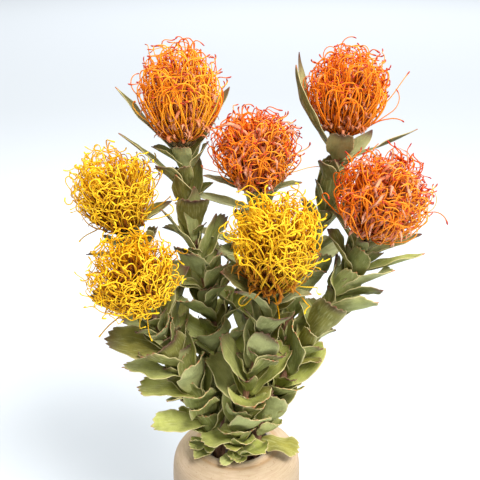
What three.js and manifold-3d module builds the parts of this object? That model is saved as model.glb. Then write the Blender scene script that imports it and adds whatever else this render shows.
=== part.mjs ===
// A stoneware vase that holds seven dried pincushion protea stems, three yellow and four orange.
// Millimetres, +Z up. The origin is the centre of the vase's base, and the front faces -Y.
// The scene graph holds the vase, one leafy stem for each flower, and one flower head on each stem.
import * as THREE from "three";
import { mergeVertices } from "three/addons/utils/BufferGeometryUtils.js";
import Module from "manifold-3d";

const wasm = await Module();
wasm.setup();
const { Manifold, Mesh: SolidMesh } = wasm;

// Vase
const VASE_HEIGHT = 180;
const VASE_SIDES = 30;
const BASE_RADIUS = 50;
const BODY_RADIUS = 64;
const MOUTH_RADIUS = 32;
const LIP_RADIUS = 38;
const WALL = 6;
const FLOOR = 8;

// Stems
const STEM_RADIUS = 3.1;
const STEM_SIDES = 6;
const SHAFT_STEPS = 2;
const BEND_STEPS = 10;
const MOUTH_RING = 22;
const FOOT_RING = 24;
const FOOT_TURN = 80;
const FOOT_LIFT = 0.8;
const LEAVING_PULL = 0.35;
const ARRIVING_PULL = 0.3;

// Room between pieces, and the width under which a sliver is taken out
const SEAT_GAP = 0.35;
const CLEARANCE = 0.4;
const SLIVER = 0.05;

// Leaves: the lowest on a stem are broad and spread, and the highest are narrow and stand close to it
const GOLDEN_ANGLE = THREE.MathUtils.degToRad(137.5);
const LEAF_THICKNESS = 1.2;
const LEAF_BASE_THICKNESS = 1.8;
const LEAF_SINK = 1.7;
const LOW_LEAF = { length: 57, width: 47, rise: 44, bend: 4, cup: 0.36, wave: 0.22 };
const HIGH_LEAF = { length: 53, width: 22, rise: 20, bend: 14, cup: 0.26, wave: 0.08 };
const LOWEST_SIZE = 0.55;
const FULL_SIZE_AT = 0.2;
const FORM_EASE = 1.7;
const SPACING_EASE = 1.25;
const VARIES = {
  size: [0.82, 1.14], width: [0.8, 1.1], cup: [0.3, 1.7], wave: [0.6, 1.4],
  bearing: [-12, 12], rise: [-16, 16], bend: [-25, 25], twist: [-30, 30], placedTwist: [-20, 20],
};
const OUTLINE = { start: 0.07, reach: 0.77, roundness: 0.7 };
const RIPPLES = 1.25;
const RIPPLE_LAG = 2.1;
const RIPPLE_EASE = 1.5;
const SPIRAL_END = 0.9;
const LEAST_RISE = 0.25;
const LEAF_STATIONS = [0, 0.3, 0.6, 0.86];
const TOOTH = { side: 0.965, sideReach: 0.4, notch: 0.925, notchReach: 0.22 };

// Flower heads: long styles stand out of a domed core and curl in over its top
const STYLES = 26;
const STYLE_REACH = 0.84;
const STYLE_LENGTH = [0.94, 1.06];
const STYLE_SPREAD = 1.86;
const STYLE_RADIUS = 0.75;
const TIP_RADIUS = 0.95;
const STYLE_SIDES = 3;
const STYLE_STOPS = [0, 0.36, 0.68, 0.87, 1];
const STYLE_STEPS = 24;
const CURL = [150, 210];
const CURL_START = 0.66;
const CURL_EASE = 1.5;
const SWAYS = { swept: 40, tangled: 110 };
const SWAY_START = 0.3;
const CORE_SIDES = 12;
const KNOB = 0.09;
const HEAD_SEED = 1000;

// From the innermost style to the outermost: its lean, how far it straightens, and its root's height
const LEAN = [8, 80];
const LEAN_EASE = 0.6;
const ROOT_REACH = 0.2;
const STRAIGHTEN = [0.6, 1.12];
const ROOT_HEIGHT = [0.3, 0.07];

// One row for each flower: where its head stands on the stem, the way that it faces, its size,
// the stem's bearing in the vase's mouth, and its leaves. Those that stand out most are placed by hand:
// [share of the way up, bearing, length, width, rise, bend].
const FLOWERS = [
  {
    name: "lower_left", colour: "yellow", habit: "tangled", seed: 37,
    seat: [-81, -34, 354], axis: [-0.12, -0.56, 0.82], height: 82, radius: 46, mouth: 214,
    leaves: 15, phase: 200, lowest: 194,
    placed: [
      [0.02, 214, 30, 22, 56, 24], [0.14, 192, 58, 30, 62, 12], [0.32, 180, 58, 36, 60, 0],
      [0.44, 192, 62, 38, 56, -6], [0.58, 182, 66, 36, 50, 0], [0.95, 185, 50, 26, 48, -10],
      [0.93, 20, 55, 24, 40, 10], [0.5, 292, 48, 34, 26, 12], [0.34, 312, 52, 36, 30, 14],
      [0.22, 284, 44, 32, 34, 16],
    ],
  },
  {
    name: "middle_front", colour: "yellow", habit: "tangled", seed: 53,
    seat: [31, -52, 369], axis: [0.03, -0.26, 0.97], height: 112, radius: 40, mouth: 282,
    leaves: 20, phase: 250, lowest: 192,
    placed: [
      [0.02, 246, 22, 17, 64, 0], [0.03, 312, 42, 26, 80, 16], [0.97, 195, 58, 26, 36, 4],
      [0.94, 340, 58, 24, 30, 16], [0.07, 286, 30, 24, 40, 16], [0.11, 240, 36, 28, 38, 12],
    ],
  },
  {
    name: "far_right", colour: "rust", habit: "swept", seed: 79,
    seat: [117, -6, 400], axis: [0.2, -0.24, 0.95], height: 92, radius: 48, mouth: 340,
    leaves: 17, phase: 330, lowest: 194,
    placed: [
      [0.02, 338, 42, 26, 76, 16], [0.91, 350, 58, 18, 44, -4], [0.83, 342, 68, 18, 46, -6],
      [0.74, 318, 58, 27, 34, 0], [0.91, 160, 50, 18, 30, 20], [0.62, 316, 58, 27, 38, 4],
    ],
  },
  {
    name: "upper_left", colour: "orange", habit: "swept", seed: 11,
    seat: [-47, 20, 476], axis: [-0.02, 0.02, 1], height: 98, radius: 41, mouth: 128,
    leaves: 18, phase: 150, lowest: 198,
    placed: [
      [0.97, 186, 84, 15, 32, -10], [0.87, 184, 76, 18, 42, 0], [0.94, 8, 84, 15, 29, 2],
      [0.93, 285, 30, 17, 22, 20],
    ],
  },
  {
    name: "upper_right", colour: "orange", habit: "swept", seed: 67,
    seat: [93, 30, 480], axis: [0.1, 0.02, 0.99], height: 91, radius: 42, mouth: 32,
    leaves: 16, phase: 110, lowest: 194,
    placed: [
      [0.97, 212, 98, 15, 48, -46], [0.95, 196, 100, 15, 52, -44], [0.94, 262, 46, 24, 24, -6],
      [0.93, 356, 76, 15, 60, -6],
    ],
  },
  {
    name: "far_left", colour: "yellow", habit: "tangled", seed: 23,
    seat: [-103, 12, 400], axis: [-0.08, -0.22, 0.97], height: 90, radius: 44, mouth: 170,
    leaves: 16, phase: 60, lowest: 190,
    placed: [[0.96, 20, 55, 17, 26, 20], [0.94, 265, 40, 20, 30, 20]],
  },
  {
    name: "middle_back", colour: "rust", habit: "swept", seed: 41,
    seat: [19, 27, 439], axis: [-0.04, -0.4, 0.92], height: 84, radius: 43, mouth: 80,
    leaves: 15, phase: 20, lowest: 196,
    placed: [[0.96, 200, 60, 15, 50, 8], [0.94, 330, 55, 16, 30, 20], [0.72, 208, 42, 18, 84, 12]],
  },
];

const COLOURS = {
  stoneware: { color: 0xc9a987, roughness: 0.8 },
  leaf: { color: 0x8f9468, roughness: 0.75 },
  yellow: { color: 0xe9b516, roughness: 0.6 },
  orange: { color: 0xe87a1c, roughness: 0.6 },
  rust: { color: 0xdc5a1e, roughness: 0.6 },
};

const radians = THREE.MathUtils.degToRad;
const mix = (low, high, share) => low + (high - low) * share;
const unit = (x, y, z) => new THREE.Vector3(x, y, z).normalize();

// The same draws each run, each from 0 to 1.
function drawsFrom(seed) {
  let state = seed;
  return () => {
    state = (Math.imul(1664525, state) + 1013904223) >>> 0;
    return state / 4294967296;
  };
}

function solidOf(geometry) {
  const bare = new THREE.BufferGeometry().setAttribute("position", geometry.getAttribute("position"));
  if (geometry.index) bare.setIndex(geometry.index);
  const merged = mergeVertices(bare, 1e-4);
  const vertProperties = new Float32Array(merged.attributes.position.array);
  const triVerts = new Uint32Array(merged.index.array);
  return new Manifold(new SolidMesh({ numProp: 3, vertProperties, triVerts }));
}

// One solid of several, with the closed pockets between them filled and the slivers taken out.
function joined(pieces) {
  const shells = Manifold.union(pieces).decompose();
  return Manifold.union(shells.filter((shell) => shell.volume() > 0)).asOriginal().simplify(SLIVER);
}

function geometryOf(solid) {
  const mesh = solid.getMesh();
  return new THREE.BufferGeometry()
    .setAttribute("position", new THREE.BufferAttribute(mesh.vertProperties, 3))
    .setIndex(new THREE.BufferAttribute(mesh.triVerts, 1));
}

function geometryFrom(points, faces) {
  const values = points.flatMap((p) => [p.x, p.y, p.z]);
  return new THREE.BufferGeometry()
    .setAttribute("position", new THREE.BufferAttribute(new Float32Array(values), 3))
    .setIndex(faces.flat());
}

// A round bar along points, with a radius at each and flat ends, the last one square to the end's way.
function sweep(points, radii, sides, end = null) {
  const last = points.length - 1;
  const corners = [];
  let across = new THREE.Vector3(1, 0, 0);
  points.forEach((point, i) => {
    const ahead = points[Math.min(i + 1, last)].clone().sub(points[Math.max(i - 1, 0)]).normalize();
    const along = end && i === last ? end : ahead;
    if (i === 0 && Math.abs(along.x) > 0.8) across.set(0, 1, 0);
    across = across.clone().addScaledVector(along, -across.dot(along)).normalize();
    const over = along.clone().cross(across);
    for (let k = 0; k < sides; k++) {
      const turn = (2 * Math.PI * k) / sides;
      const out = across.clone().multiplyScalar(Math.cos(turn)).addScaledVector(over, Math.sin(turn));
      corners.push(point.clone().addScaledVector(out, radii[i]));
    }
  });
  const faces = [];
  for (let i = 0; i < last; i++) {
    for (let k = 0; k < sides; k++) {
      const [a, b] = [i * sides + k, i * sides + ((k + 1) % sides)];
      faces.push([a, b, b + sides], [a, b + sides, a + sides]);
    }
  }
  for (let k = 1; k < sides - 1; k++) {
    faces.push([0, k + 1, k], [last * sides, last * sides + k, last * sides + k + 1]);
  }
  return geometryFrom(corners, faces);
}

function vaseGeometry() {
  const outside = [
    [0, 0], [BASE_RADIUS - 3, 0], [BASE_RADIUS, 3], [BODY_RADIUS - 2, 85], [BODY_RADIUS, 138],
    [BODY_RADIUS - 1, 160], [BODY_RADIUS - 6, 170], [LIP_RADIUS + 11, 176], [LIP_RADIUS + 1, 177.5],
    [LIP_RADIUS, VASE_HEIGHT - 1], [LIP_RADIUS - 2, VASE_HEIGHT],
  ];
  const inside = [
    [MOUTH_RADIUS, VASE_HEIGHT - 1], [MOUTH_RADIUS + 1, 170], [BODY_RADIUS - WALL - 5, 156],
    [BODY_RADIUS - WALL, 130], [BASE_RADIUS - WALL, FLOOR], [0, FLOOR],
  ];
  const profile = [...outside, ...inside].map(([r, z]) => new THREE.Vector2(r, z));
  return new THREE.LatheGeometry(profile, VASE_SIDES).rotateX(Math.PI / 2);
}

// The stem's centre line: up from the vase's floor, through its mouth, and out to the head's seat.
// The stems lean across one another, each turned alike, so no two of them meet.
function stemCurve(flower) {
  const onRing = (radius, bearing, z) => new THREE.Vector3(
    radius * Math.cos(radians(bearing)), radius * Math.sin(radians(bearing)), z);
  const foot = onRing(FOOT_RING, flower.mouth + FOOT_TURN, FLOOR + SEAT_GAP + FOOT_LIFT);
  const mouth = onRing(MOUTH_RING, flower.mouth, VASE_HEIGHT);
  const seat = new THREE.Vector3(...flower.seat);
  const reach = seat.distanceTo(mouth);
  const leave = mouth.clone().sub(foot).normalize();
  const arrive = unit(...flower.axis);
  const shaft = new THREE.LineCurve3(foot, mouth);
  const bend = new THREE.CubicBezierCurve3(
    mouth,
    mouth.clone().addScaledVector(leave, reach * LEAVING_PULL),
    seat.clone().addScaledVector(arrive, -reach * ARRIVING_PULL),
    seat,
  );
  return { shaft, bend };
}

function stemSolid(flower) {
  const { shaft, bend } = stemCurve(flower);
  const points = [...shaft.getPoints(SHAFT_STEPS), ...bend.getPoints(BEND_STEPS).slice(1)];
  return solidOf(sweep(points, points.map(() => STEM_RADIUS), STEM_SIDES, unit(...flower.axis)));
}

// How wide the leaf is at a share of its length, against its widest: a clasping base and a blunt tip.
const leafSpan = (s) => Math.sin(Math.PI * (OUTLINE.start + OUTLINE.reach * s)) ** OUTLINE.roundness;

// A point on the leaf's middle surface: s runs along it from 0 to 1, and a across it from -1 to 1.
function leafPoint(frame, leaf, s, a, lift = 0) {
  const { root, up, out, side } = frame;
  const turn = Math.abs(leaf.bend) < 1e-3 ? 1e-3 : leaf.bend;
  const angle = leaf.rise + turn * s;
  const rise = (Math.sin(angle) - Math.sin(leaf.rise)) / turn;
  const reach = (Math.cos(leaf.rise) - Math.cos(angle)) / turn;
  const normal = up.clone().multiplyScalar(Math.sin(angle)).addScaledVector(out, -Math.cos(angle));
  const roll = leaf.twist * s;
  const across = side.clone().multiplyScalar(Math.cos(roll)).addScaledVector(normal, Math.sin(roll));
  const face = normal.clone().multiplyScalar(Math.cos(roll)).addScaledVector(side, -Math.sin(roll));
  const half = (leaf.width / 2) * leafSpan(s);
  const ripple = Math.sin(2 * Math.PI * RIPPLES * s + leaf.ripple + (a > 0 ? 0 : RIPPLE_LAG));
  const waved = leaf.wave * ripple * Math.abs(a) ** RIPPLE_EASE * Math.sin(Math.PI * s);
  const raised = half * (leaf.cup * a * a + waved);
  return root.clone()
    .addScaledVector(up, leaf.length * rise)
    .addScaledVector(out, leaf.length * reach)
    .addScaledVector(across, a * half)
    .addScaledVector(face, raised + lift);
}

// A leaf as a thin solid: its toothed outline, and the midrib raised on both faces.
function leafGeometry(frame, leaf) {
  const points = [];
  const add = (s, a, lift) => points.push(leafPoint(frame, leaf, s, a, lift)) - 1;
  const reachAt = (s, share) => share / leafSpan(s);
  const ribs = LEAF_STATIONS.map((s, i) => {
    const half = (i === 0 ? LEAF_BASE_THICKNESS : LEAF_THICKNESS) / 2;
    return [add(s, 0, half), add(s, 0, -half)];
  });
  const edges = [1, -1].map((hand) => [
    ...LEAF_STATIONS.map((s) => add(s, hand, 0)),
    add(TOOTH.side, hand * reachAt(TOOTH.side, TOOTH.sideReach), 0),
    add(TOOTH.notch, hand * reachAt(TOOTH.notch, TOOTH.notchReach), 0),
  ]);
  const tip = add(1, 0, 0);
  const faces = [];
  edges.forEach((edge, hand) => {
    [0, 1].forEach((under) => {
      const rib = ribs.map((pair) => pair[under]);
      const strip = [
        [edge[0], edge[1], rib[1]], [edge[0], rib[1], rib[0]],
        [edge[1], edge[2], rib[2]], [edge[1], rib[2], rib[1]],
        [edge[2], edge[3], rib[3]], [edge[2], rib[3], rib[2]],
        [edge[3], edge[4], edge[5]], [edge[3], edge[5], rib[3]],
        [edge[5], tip, rib[3]],
      ];
      strip.forEach(([a, b, c]) => faces.push(hand === under ? [a, c, b] : [a, b, c]));
    });
    const [over, below] = ribs[0];
    faces.push(hand === 0 ? [edge[0], below, over] : [edge[0], over, below]);
  });
  return geometryFrom(points, faces);
}

// Where each leaf grows on a stem and its form: those placed by hand, and the spiral from the lowest up.
function leafPlan(flower) {
  const draw = drawsFrom(flower.seed);
  const vary = (range) => mix(...range, draw());
  const { bend } = stemCurve(flower);
  const start = (flower.lowest - VASE_HEIGHT) / (flower.seat[2] - VASE_HEIGHT);
  const grown = (at, leaf) => ({ leaf, point: bend.getPoint(at), tangent: bend.getTangent(at) });
  const spiral = Array.from({ length: flower.leaves }, (_, i) => {
    const share = i / (flower.leaves - 1);
    const growth = share ** FORM_EASE;
    const size = vary(VARIES.size) * mix(LOWEST_SIZE, 1, Math.min(1, share / FULL_SIZE_AT));
    return grown(mix(start, SPIRAL_END, share ** SPACING_EASE), {
      azimuth: radians(flower.phase + vary(VARIES.bearing)) + i * GOLDEN_ANGLE,
      length: mix(LOW_LEAF.length, HIGH_LEAF.length, growth) * size,
      width: mix(LOW_LEAF.width, HIGH_LEAF.width, growth) * vary(VARIES.width) * Math.min(1, size),
      rise: radians(mix(LOW_LEAF.rise, HIGH_LEAF.rise, share) + vary(VARIES.rise)),
      bend: radians(mix(LOW_LEAF.bend, HIGH_LEAF.bend, share) + vary(VARIES.bend)),
      cup: mix(LOW_LEAF.cup, HIGH_LEAF.cup, share) * vary(VARIES.cup),
      wave: mix(LOW_LEAF.wave, HIGH_LEAF.wave, share) * vary(VARIES.wave),
      twist: radians(vary(VARIES.twist)),
      ripple: 2 * Math.PI * draw(),
    });
  });
  const placed = flower.placed.map(([at, bearing, length, width, rise, curl]) => grown(at, {
    azimuth: radians(bearing), length, width, rise: radians(rise), bend: radians(curl),
    cup: mix(LOW_LEAF.cup, HIGH_LEAF.cup, at), wave: mix(LOW_LEAF.wave, HIGH_LEAF.wave, at),
    twist: radians(vary(VARIES.placedTwist)), ripple: 2 * Math.PI * draw(),
  }));
  return [...placed, ...spiral];
}

// The leaf's own axes: up along the stem, out from it, and sideways.
function leafFrame(point, tangent, azimuth) {
  const up = tangent.clone().normalize();
  const first = new THREE.Vector3(1, 0, 0).addScaledVector(up, -up.x).normalize();
  const second = up.clone().cross(first);
  const out = first.multiplyScalar(Math.cos(azimuth)).addScaledVector(second, Math.sin(azimuth));
  const side = up.clone().cross(out);
  const root = point.clone().addScaledVector(out, STEM_RADIUS - LEAF_SINK);
  return { root, up, out, side };
}

// The ways that a leaf may be bent clear of what is in its place: turned round the stem, raised or
// lowered, and at last made smaller.
const BENDS = [1, 0.82, 0.66].flatMap((size) =>
  [0, -14, 14, -28, 28].flatMap((lift) => [0, 16, -16, 34, -34].map((turn) => ({ size, lift, turn }))));

const bentLeaf = (leaf, { size, lift, turn }) => ({
  ...leaf,
  length: leaf.length * size,
  width: leaf.width * size,
  rise: Math.max(leaf.rise + radians(lift), LEAST_RISE),
  azimuth: leaf.azimuth + radians(turn),
});

const boxOf = (solid) => {
  const { min, max } = solid.boundingBox();
  return new THREE.Box3(new THREE.Vector3(...min), new THREE.Vector3(...max)).expandByScalar(CLEARANCE);
};

const clearOf = (solid, others) => {
  const box = boxOf(solid);
  return others.every((o) => !o.box.intersectsBox(box) || o.solid.minGap(solid, 2 * CLEARANCE) >= CLEARANCE);
};

const noted = (solid, owner) => ({ solid, owner, box: boxOf(solid) });

// A style's centre line in the head's own frame, +Z along its axis from the seat.
function stylePoints(flower, index, draw) {
  const share = (index + 0.5) / STYLES;
  const azimuth = index * GOLDEN_ANGLE;
  const length = STYLE_REACH * flower.height * mix(...STYLE_LENGTH, draw());
  const start = radians(mix(...LEAN, share ** LEAN_EASE));
  const straighten = mix(...STRAIGHTEN, share);
  const curl = radians(mix(...CURL, draw()));
  const sway = radians(SWAYS[flower.habit]) * (2 * draw() - 1);
  const spread = (STYLE_SPREAD * flower.radius) / flower.height;
  const step = length / STYLE_STEPS;
  const outward = new THREE.Vector3(Math.cos(azimuth), Math.sin(azimuth), 0);
  const sideways = new THREE.Vector3(-Math.sin(azimuth), Math.cos(azimuth), 0);
  const at = outward.clone().multiplyScalar(ROOT_REACH * flower.radius * Math.sin(start));
  at.z = flower.height * mix(...ROOT_HEIGHT, share);
  const points = [];
  for (let i = 0; i <= STYLE_STEPS; i++) {
    const s = i / STYLE_STEPS;
    if (s >= STYLE_STOPS[points.length]) points.push(at.clone());
    const late = Math.max(0, (s - CURL_START) / (1 - CURL_START));
    const angle = start * (1 - straighten * s) - curl * late ** CURL_EASE;
    const aside = sway * Math.max(0, (s - SWAY_START) / (1 - SWAY_START));
    at.addScaledVector(outward, Math.sin(angle) * Math.cos(aside) * spread * step);
    at.addScaledVector(sideways, Math.sin(aside) * step);
    at.z += Math.cos(angle) * Math.cos(aside) * step;
  }
  return points;
}

// A turned core with its corners raised and sunk in turn, as the small flowers packed in a head are.
function knobbed(turned, rows) {
  const at = turned.getAttribute("position");
  for (let i = 0; i < at.count; i++) {
    const [side, row] = [Math.floor(i / rows) % CORE_SIDES, i % rows];
    const share = row < 2 ? 1 : 1 + ((side + row) % 2 ? KNOB : -KNOB);
    at.setX(i, at.getX(i) * share);
    at.setZ(i, at.getZ(i) * share);
  }
  return turned.rotateX(Math.PI / 2);
}

function headSolid(flower) {
  const draw = drawsFrom(flower.seed + HEAD_SEED);
  const { height, radius } = flower;
  const profile = [
    [0, 0], [STEM_RADIUS + 1, 0], [0.34 * radius, 0.08 * height], [0.56 * radius, 0.22 * height],
    [0.62 * radius, 0.38 * height], [0.52 * radius, 0.56 * height], [0.3 * radius, 0.68 * height],
    [0, 0.73 * height],
  ].map(([r, z]) => new THREE.Vector2(r, z));
  const core = solidOf(knobbed(new THREE.LatheGeometry(profile, CORE_SIDES), profile.length));
  const styles = Array.from({ length: STYLES }, (_, i) => {
    const radii = STYLE_STOPS.map((s) => mix(STYLE_RADIUS, TIP_RADIUS, s));
    return solidOf(sweep(stylePoints(flower, i, draw), radii, STYLE_SIDES));
  });
  return joined([core, ...styles]);
}

function meshOf(name, geometry, look) {
  const mesh = new THREE.Mesh(geometry, new THREE.MeshStandardMaterial({ ...look, metalness: 0 }));
  mesh.name = name;
  return mesh;
}

function headMesh(flower, solid) {
  const mesh = meshOf("head_" + flower.name, geometryOf(solid), COLOURS[flower.colour]);
  const axis = unit(...flower.axis);
  mesh.position.set(...flower.seat).addScaledVector(axis, SEAT_GAP);
  mesh.quaternion.setFromUnitVectors(new THREE.Vector3(0, 0, 1), axis);
  mesh.updateMatrix();
  return mesh;
}

// The first way to bend a leaf that is clear of the rivals, as a solid.
function leafClearOf({ leaf, point, tangent }, rivals) {
  for (const bend of BENDS) {
    const bent = bentLeaf(leaf, bend);
    const solid = solidOf(leafGeometry(leafFrame(point, tangent, bent.azimuth), bent));
    if (clearOf(solid, rivals)) return solid;
  }
  return null;
}

// A stem with its leaves, each clear of every other piece, and of its own stem's leaves where it can be.
function leafyStem(flower, shaft, taken) {
  const pieces = [shaft];
  for (const grown of leafPlan(flower)) {
    const others = taken.filter((piece) => piece.owner !== flower.name);
    const leaves = taken.filter((piece) => pieces.slice(1).includes(piece.solid));
    const solid = leafClearOf(grown, [...others, ...leaves]) ?? leafClearOf(grown, others);
    if (!solid) continue;
    pieces.push(solid);
    taken.push(noted(solid, flower.name));
  }
  return joined(pieces);
}

const arrangement = new THREE.Group();
const vase = vaseGeometry();
arrangement.add(meshOf("vase", vase, COLOURS.stoneware));
const taken = [noted(solidOf(vase), "vase")];

for (const flower of FLOWERS) {
  const head = headSolid(flower);
  const mesh = headMesh(flower, head);
  arrangement.add(mesh);
  taken.push(noted(head.transform(mesh.matrix.elements), mesh.name));
}

const shafts = FLOWERS.map(stemSolid);
shafts.forEach((shaft, i) => taken.push(noted(shaft, FLOWERS[i].name)));

FLOWERS.forEach((flower, i) => {
  const stem = leafyStem(flower, shafts[i], taken);
  arrangement.add(meshOf("stem_" + flower.name, geometryOf(stem), COLOURS.leaf));
});

export default arrangement;
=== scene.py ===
"""Looks for a stoneware vase of dried pincushion protea stems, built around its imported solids.

The vase is turned again with a finer profile. Each leafy stem and each flower head is grown again by the
rule that its solid follows, with finer leaves and with every style, small flower and bract. Sizes are in
millimetres until a mesh is made, and in metres from there on.
"""

import logging
import math
from dataclasses import dataclass, field, replace
from enum import Enum

import bpy
import numpy as np
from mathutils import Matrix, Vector
from mathutils.kdtree import KDTree

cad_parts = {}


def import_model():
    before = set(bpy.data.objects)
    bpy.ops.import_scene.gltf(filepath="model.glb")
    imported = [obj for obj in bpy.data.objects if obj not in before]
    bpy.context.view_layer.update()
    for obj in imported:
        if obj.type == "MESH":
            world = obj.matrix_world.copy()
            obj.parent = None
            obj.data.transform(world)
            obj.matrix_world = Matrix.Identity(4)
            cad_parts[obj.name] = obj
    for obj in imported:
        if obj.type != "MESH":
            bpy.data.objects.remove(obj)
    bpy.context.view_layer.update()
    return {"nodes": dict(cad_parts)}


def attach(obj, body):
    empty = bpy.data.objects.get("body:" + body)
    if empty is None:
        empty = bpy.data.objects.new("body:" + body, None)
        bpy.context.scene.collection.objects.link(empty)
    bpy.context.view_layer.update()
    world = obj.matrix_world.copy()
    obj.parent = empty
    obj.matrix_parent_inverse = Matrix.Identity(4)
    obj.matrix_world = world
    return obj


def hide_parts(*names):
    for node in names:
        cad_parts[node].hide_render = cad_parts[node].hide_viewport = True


LOG = logging.getLogger("protea_vase")
MM = 0.001
BODY = "root"
GOLDEN_DEGREES = 137.5
GOLDEN_SHARE = 0.6180339887
FULL_TURN = 2 * math.pi
UP = np.array([0.0, 0.0, 1.0])
# How far the seeds of a flower's other draws are from its own
HEAD_SEED, LEAF_SEED, SMALL_LEAF_SEED = 1000, 2000, 3000
Ends = tuple[float, float]
Place = tuple[float, float, float]
Colour = tuple[float, float, float]
Stops = tuple[tuple[float, Colour], ...]
LeafRow = tuple[float, float, float, float, float, float]
Array = np.ndarray
Parts = tuple[Array, Array, Array]
Material = bpy.types.Material
Node = bpy.types.Node
Socket = bpy.types.NodeSocket


def mix(low: float, high: float, share: float) -> float:
    """The value at a share of the way from low to high."""
    return low + (high - low) * share


def unit(vector: Array) -> Array:
    """Vectors scaled to length 1 along their last axis."""
    return vector / np.linalg.norm(vector, axis=-1, keepdims=True)


def ease(low: float, high: float, value: Array) -> Array:
    """0 below low, 1 above high and a smooth rise between them."""
    share = np.clip((value - low) / (high - low), 0.0, 1.0)
    return share * share * (3.0 - 2.0 * share)


def after(start: Array, s: Array) -> Array:
    """0 until a start, and a straight rise to 1 from there on."""
    return np.clip((s - start) / (1 - start), 0.0, 1.0)


class Draws:
    """The part's own seeded draws, each from 0 to 1."""

    FACTOR = 1664525
    STEP = 1013904223
    RANGE = 2**32

    def __init__(self, seed: int) -> None:
        """Starts the draws at a seed."""
        self.state = seed

    def draw(self) -> float:
        """The next draw."""
        self.state = (self.FACTOR * self.state + self.STEP) % self.RANGE
        return self.state / self.RANGE

    def between(self, low: float, high: float) -> float:
        """A draw from low to high."""
        return mix(low, high, self.draw())

    def form(self, ranges: dict[str, Ends]) -> dict[str, float]:
        """A draw from each of several ranges, by name."""
        return {name: self.between(*ends) for name, ends in ranges.items()}

    def many(self, count: int, low: float = 0.0, high: float = 1.0) -> Array:
        """Several draws from low to high."""
        return np.array([self.between(low, high) for _ in range(count)])

    def angles(self, count: int, low: float, high: float) -> Array:
        """Several draws from low to high degrees, in radians."""
        return np.radians(self.many(count, low, high))


@dataclass
class Shape:
    """A mesh in the making: corners in millimetres, faces, and a value or vector at each corner by name."""

    corners: Array
    faces: list[tuple[int, ...]]
    marks: dict[str, Array] = field(default_factory=dict)

    @staticmethod
    def joined(shapes: "list[Shape]") -> "Shape":
        """One shape of several that carry the same marks.

        Args:
            shapes: The shapes to put together, at least one.

        Returns:
            The shape that holds them all.
        """
        starts = np.cumsum([0] + [len(s.corners) for s in shapes])
        faces = [tuple(i + int(start) for i in f) for s, start in zip(shapes, starts) for f in s.faces]
        marks = {k: np.concatenate([s.marks[k] for s in shapes]) for k in shapes[0].marks}
        return Shape(np.concatenate([s.corners for s in shapes]), faces, marks)

    def piece(self, name: str, material: Material, slot: str, node: str) -> bpy.types.Object:
        """Makes the shape a smooth-shaded piece that stands for a CAD node.

        Args:
            name: The piece's name.
            material: Its material.
            slot: The record's material slot; not used.
            node: The CAD node that it stands for.

        Returns:
            The new object.
        """
        mesh = bpy.data.meshes.new(name)
        mesh.from_pydata((self.corners * MM).tolist(), [], self.faces)
        for key, values in self.marks.items():
            kind, channel = ("FLOAT_VECTOR", "vector") if values.ndim == 2 else ("FLOAT", "value")
            layer = mesh.attributes.new(key, kind, "POINT")
            layer.data.foreach_set(channel, values.astype(np.float32).ravel())
        mesh.polygons.foreach_set("use_smooth", [True] * len(mesh.polygons))
        mesh.materials.append(material)
        mesh.update()
        thing = bpy.data.objects.new(name, mesh)
        bpy.context.scene.collection.objects.link(thing)
        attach(thing, BODY)
        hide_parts(node)
        LOG.info("%s: %d faces", name, len(mesh.polygons))
        return thing


def bars(
    paths: Array,
    radii: Array,
    sides: int,
    across: Array | None = None,
    flat: float = 1.0,
    places: Array | None = None,
) -> Shape:
    """Round or flattened bars along paths, capped at both ends.

    Args:
        paths: Points of each path, of shape (bars, points, 3).
        radii: The radius at each point, of shape (bars, points).
        sides: The corners around a bar.
        across: The way in which each bar is widest, of shape (bars, 3).
        flat: The thickness as a share of the width.
        places: How far along a bar each of its points is, where they aren't evenly spread.

    Returns:
        The bars as one shape, marked with "along" and "vary".
    """
    count, stops, _ = paths.shape
    ways = unit(np.gradient(paths, axis=1))
    if across is None:
        lies_along_x = np.abs(ways[:, 0, :1]) > 0.8
        across = np.where(lies_along_x, [[0.0, 1.0, 0.0]], [[1.0, 0.0, 0.0]])
    turn = FULL_TURN * np.arange(sides) / sides
    rings = np.empty((count, stops, sides, 3))
    for i in range(stops):
        way = ways[:, i]
        across = unit(across - way * np.sum(across * way, axis=1, keepdims=True))
        over = np.cross(way, across) * flat
        ring = across[:, None] * np.cos(turn)[None, :, None] + over[:, None] * np.sin(turn)[None, :, None]
        rings[:, i] = paths[:, i, None] + ring * radii[:, i, None, None]
    faces = []
    for first in range(0, count * stops * sides, stops * sides):
        faces += tube_faces(stops, sides, first)
    places = np.linspace(0, 1, stops) if places is None else places
    along = np.tile(np.repeat(places, sides), count)
    vary = np.repeat(np.modf(np.arange(count) * GOLDEN_SHARE)[0], stops * sides)
    return Shape(rings.reshape(-1, 3), faces, {"along": along, "vary": vary})


def tube_faces(rows: int, sides: int, first: int = 0) -> list[tuple[int, ...]]:
    """The faces of a closed tube.

    Args:
        rows: How many rings of corners it has.
        sides: The corners of a ring.
        first: The number of its first corner.

    Returns:
        The faces between the rings, and one across each end.
    """
    faces = []
    for low in range(first, first + (rows - 1) * sides, sides):
        high = low + sides
        for k in range(sides):
            n = (k + 1) % sides
            faces.append((low + k, low + n, high + n, high + k))
    last = first + (rows - 1) * sides
    faces.append(tuple(reversed(range(first, first + sides))))
    faces.append(tuple(range(last, last + sides)))
    return faces


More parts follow.
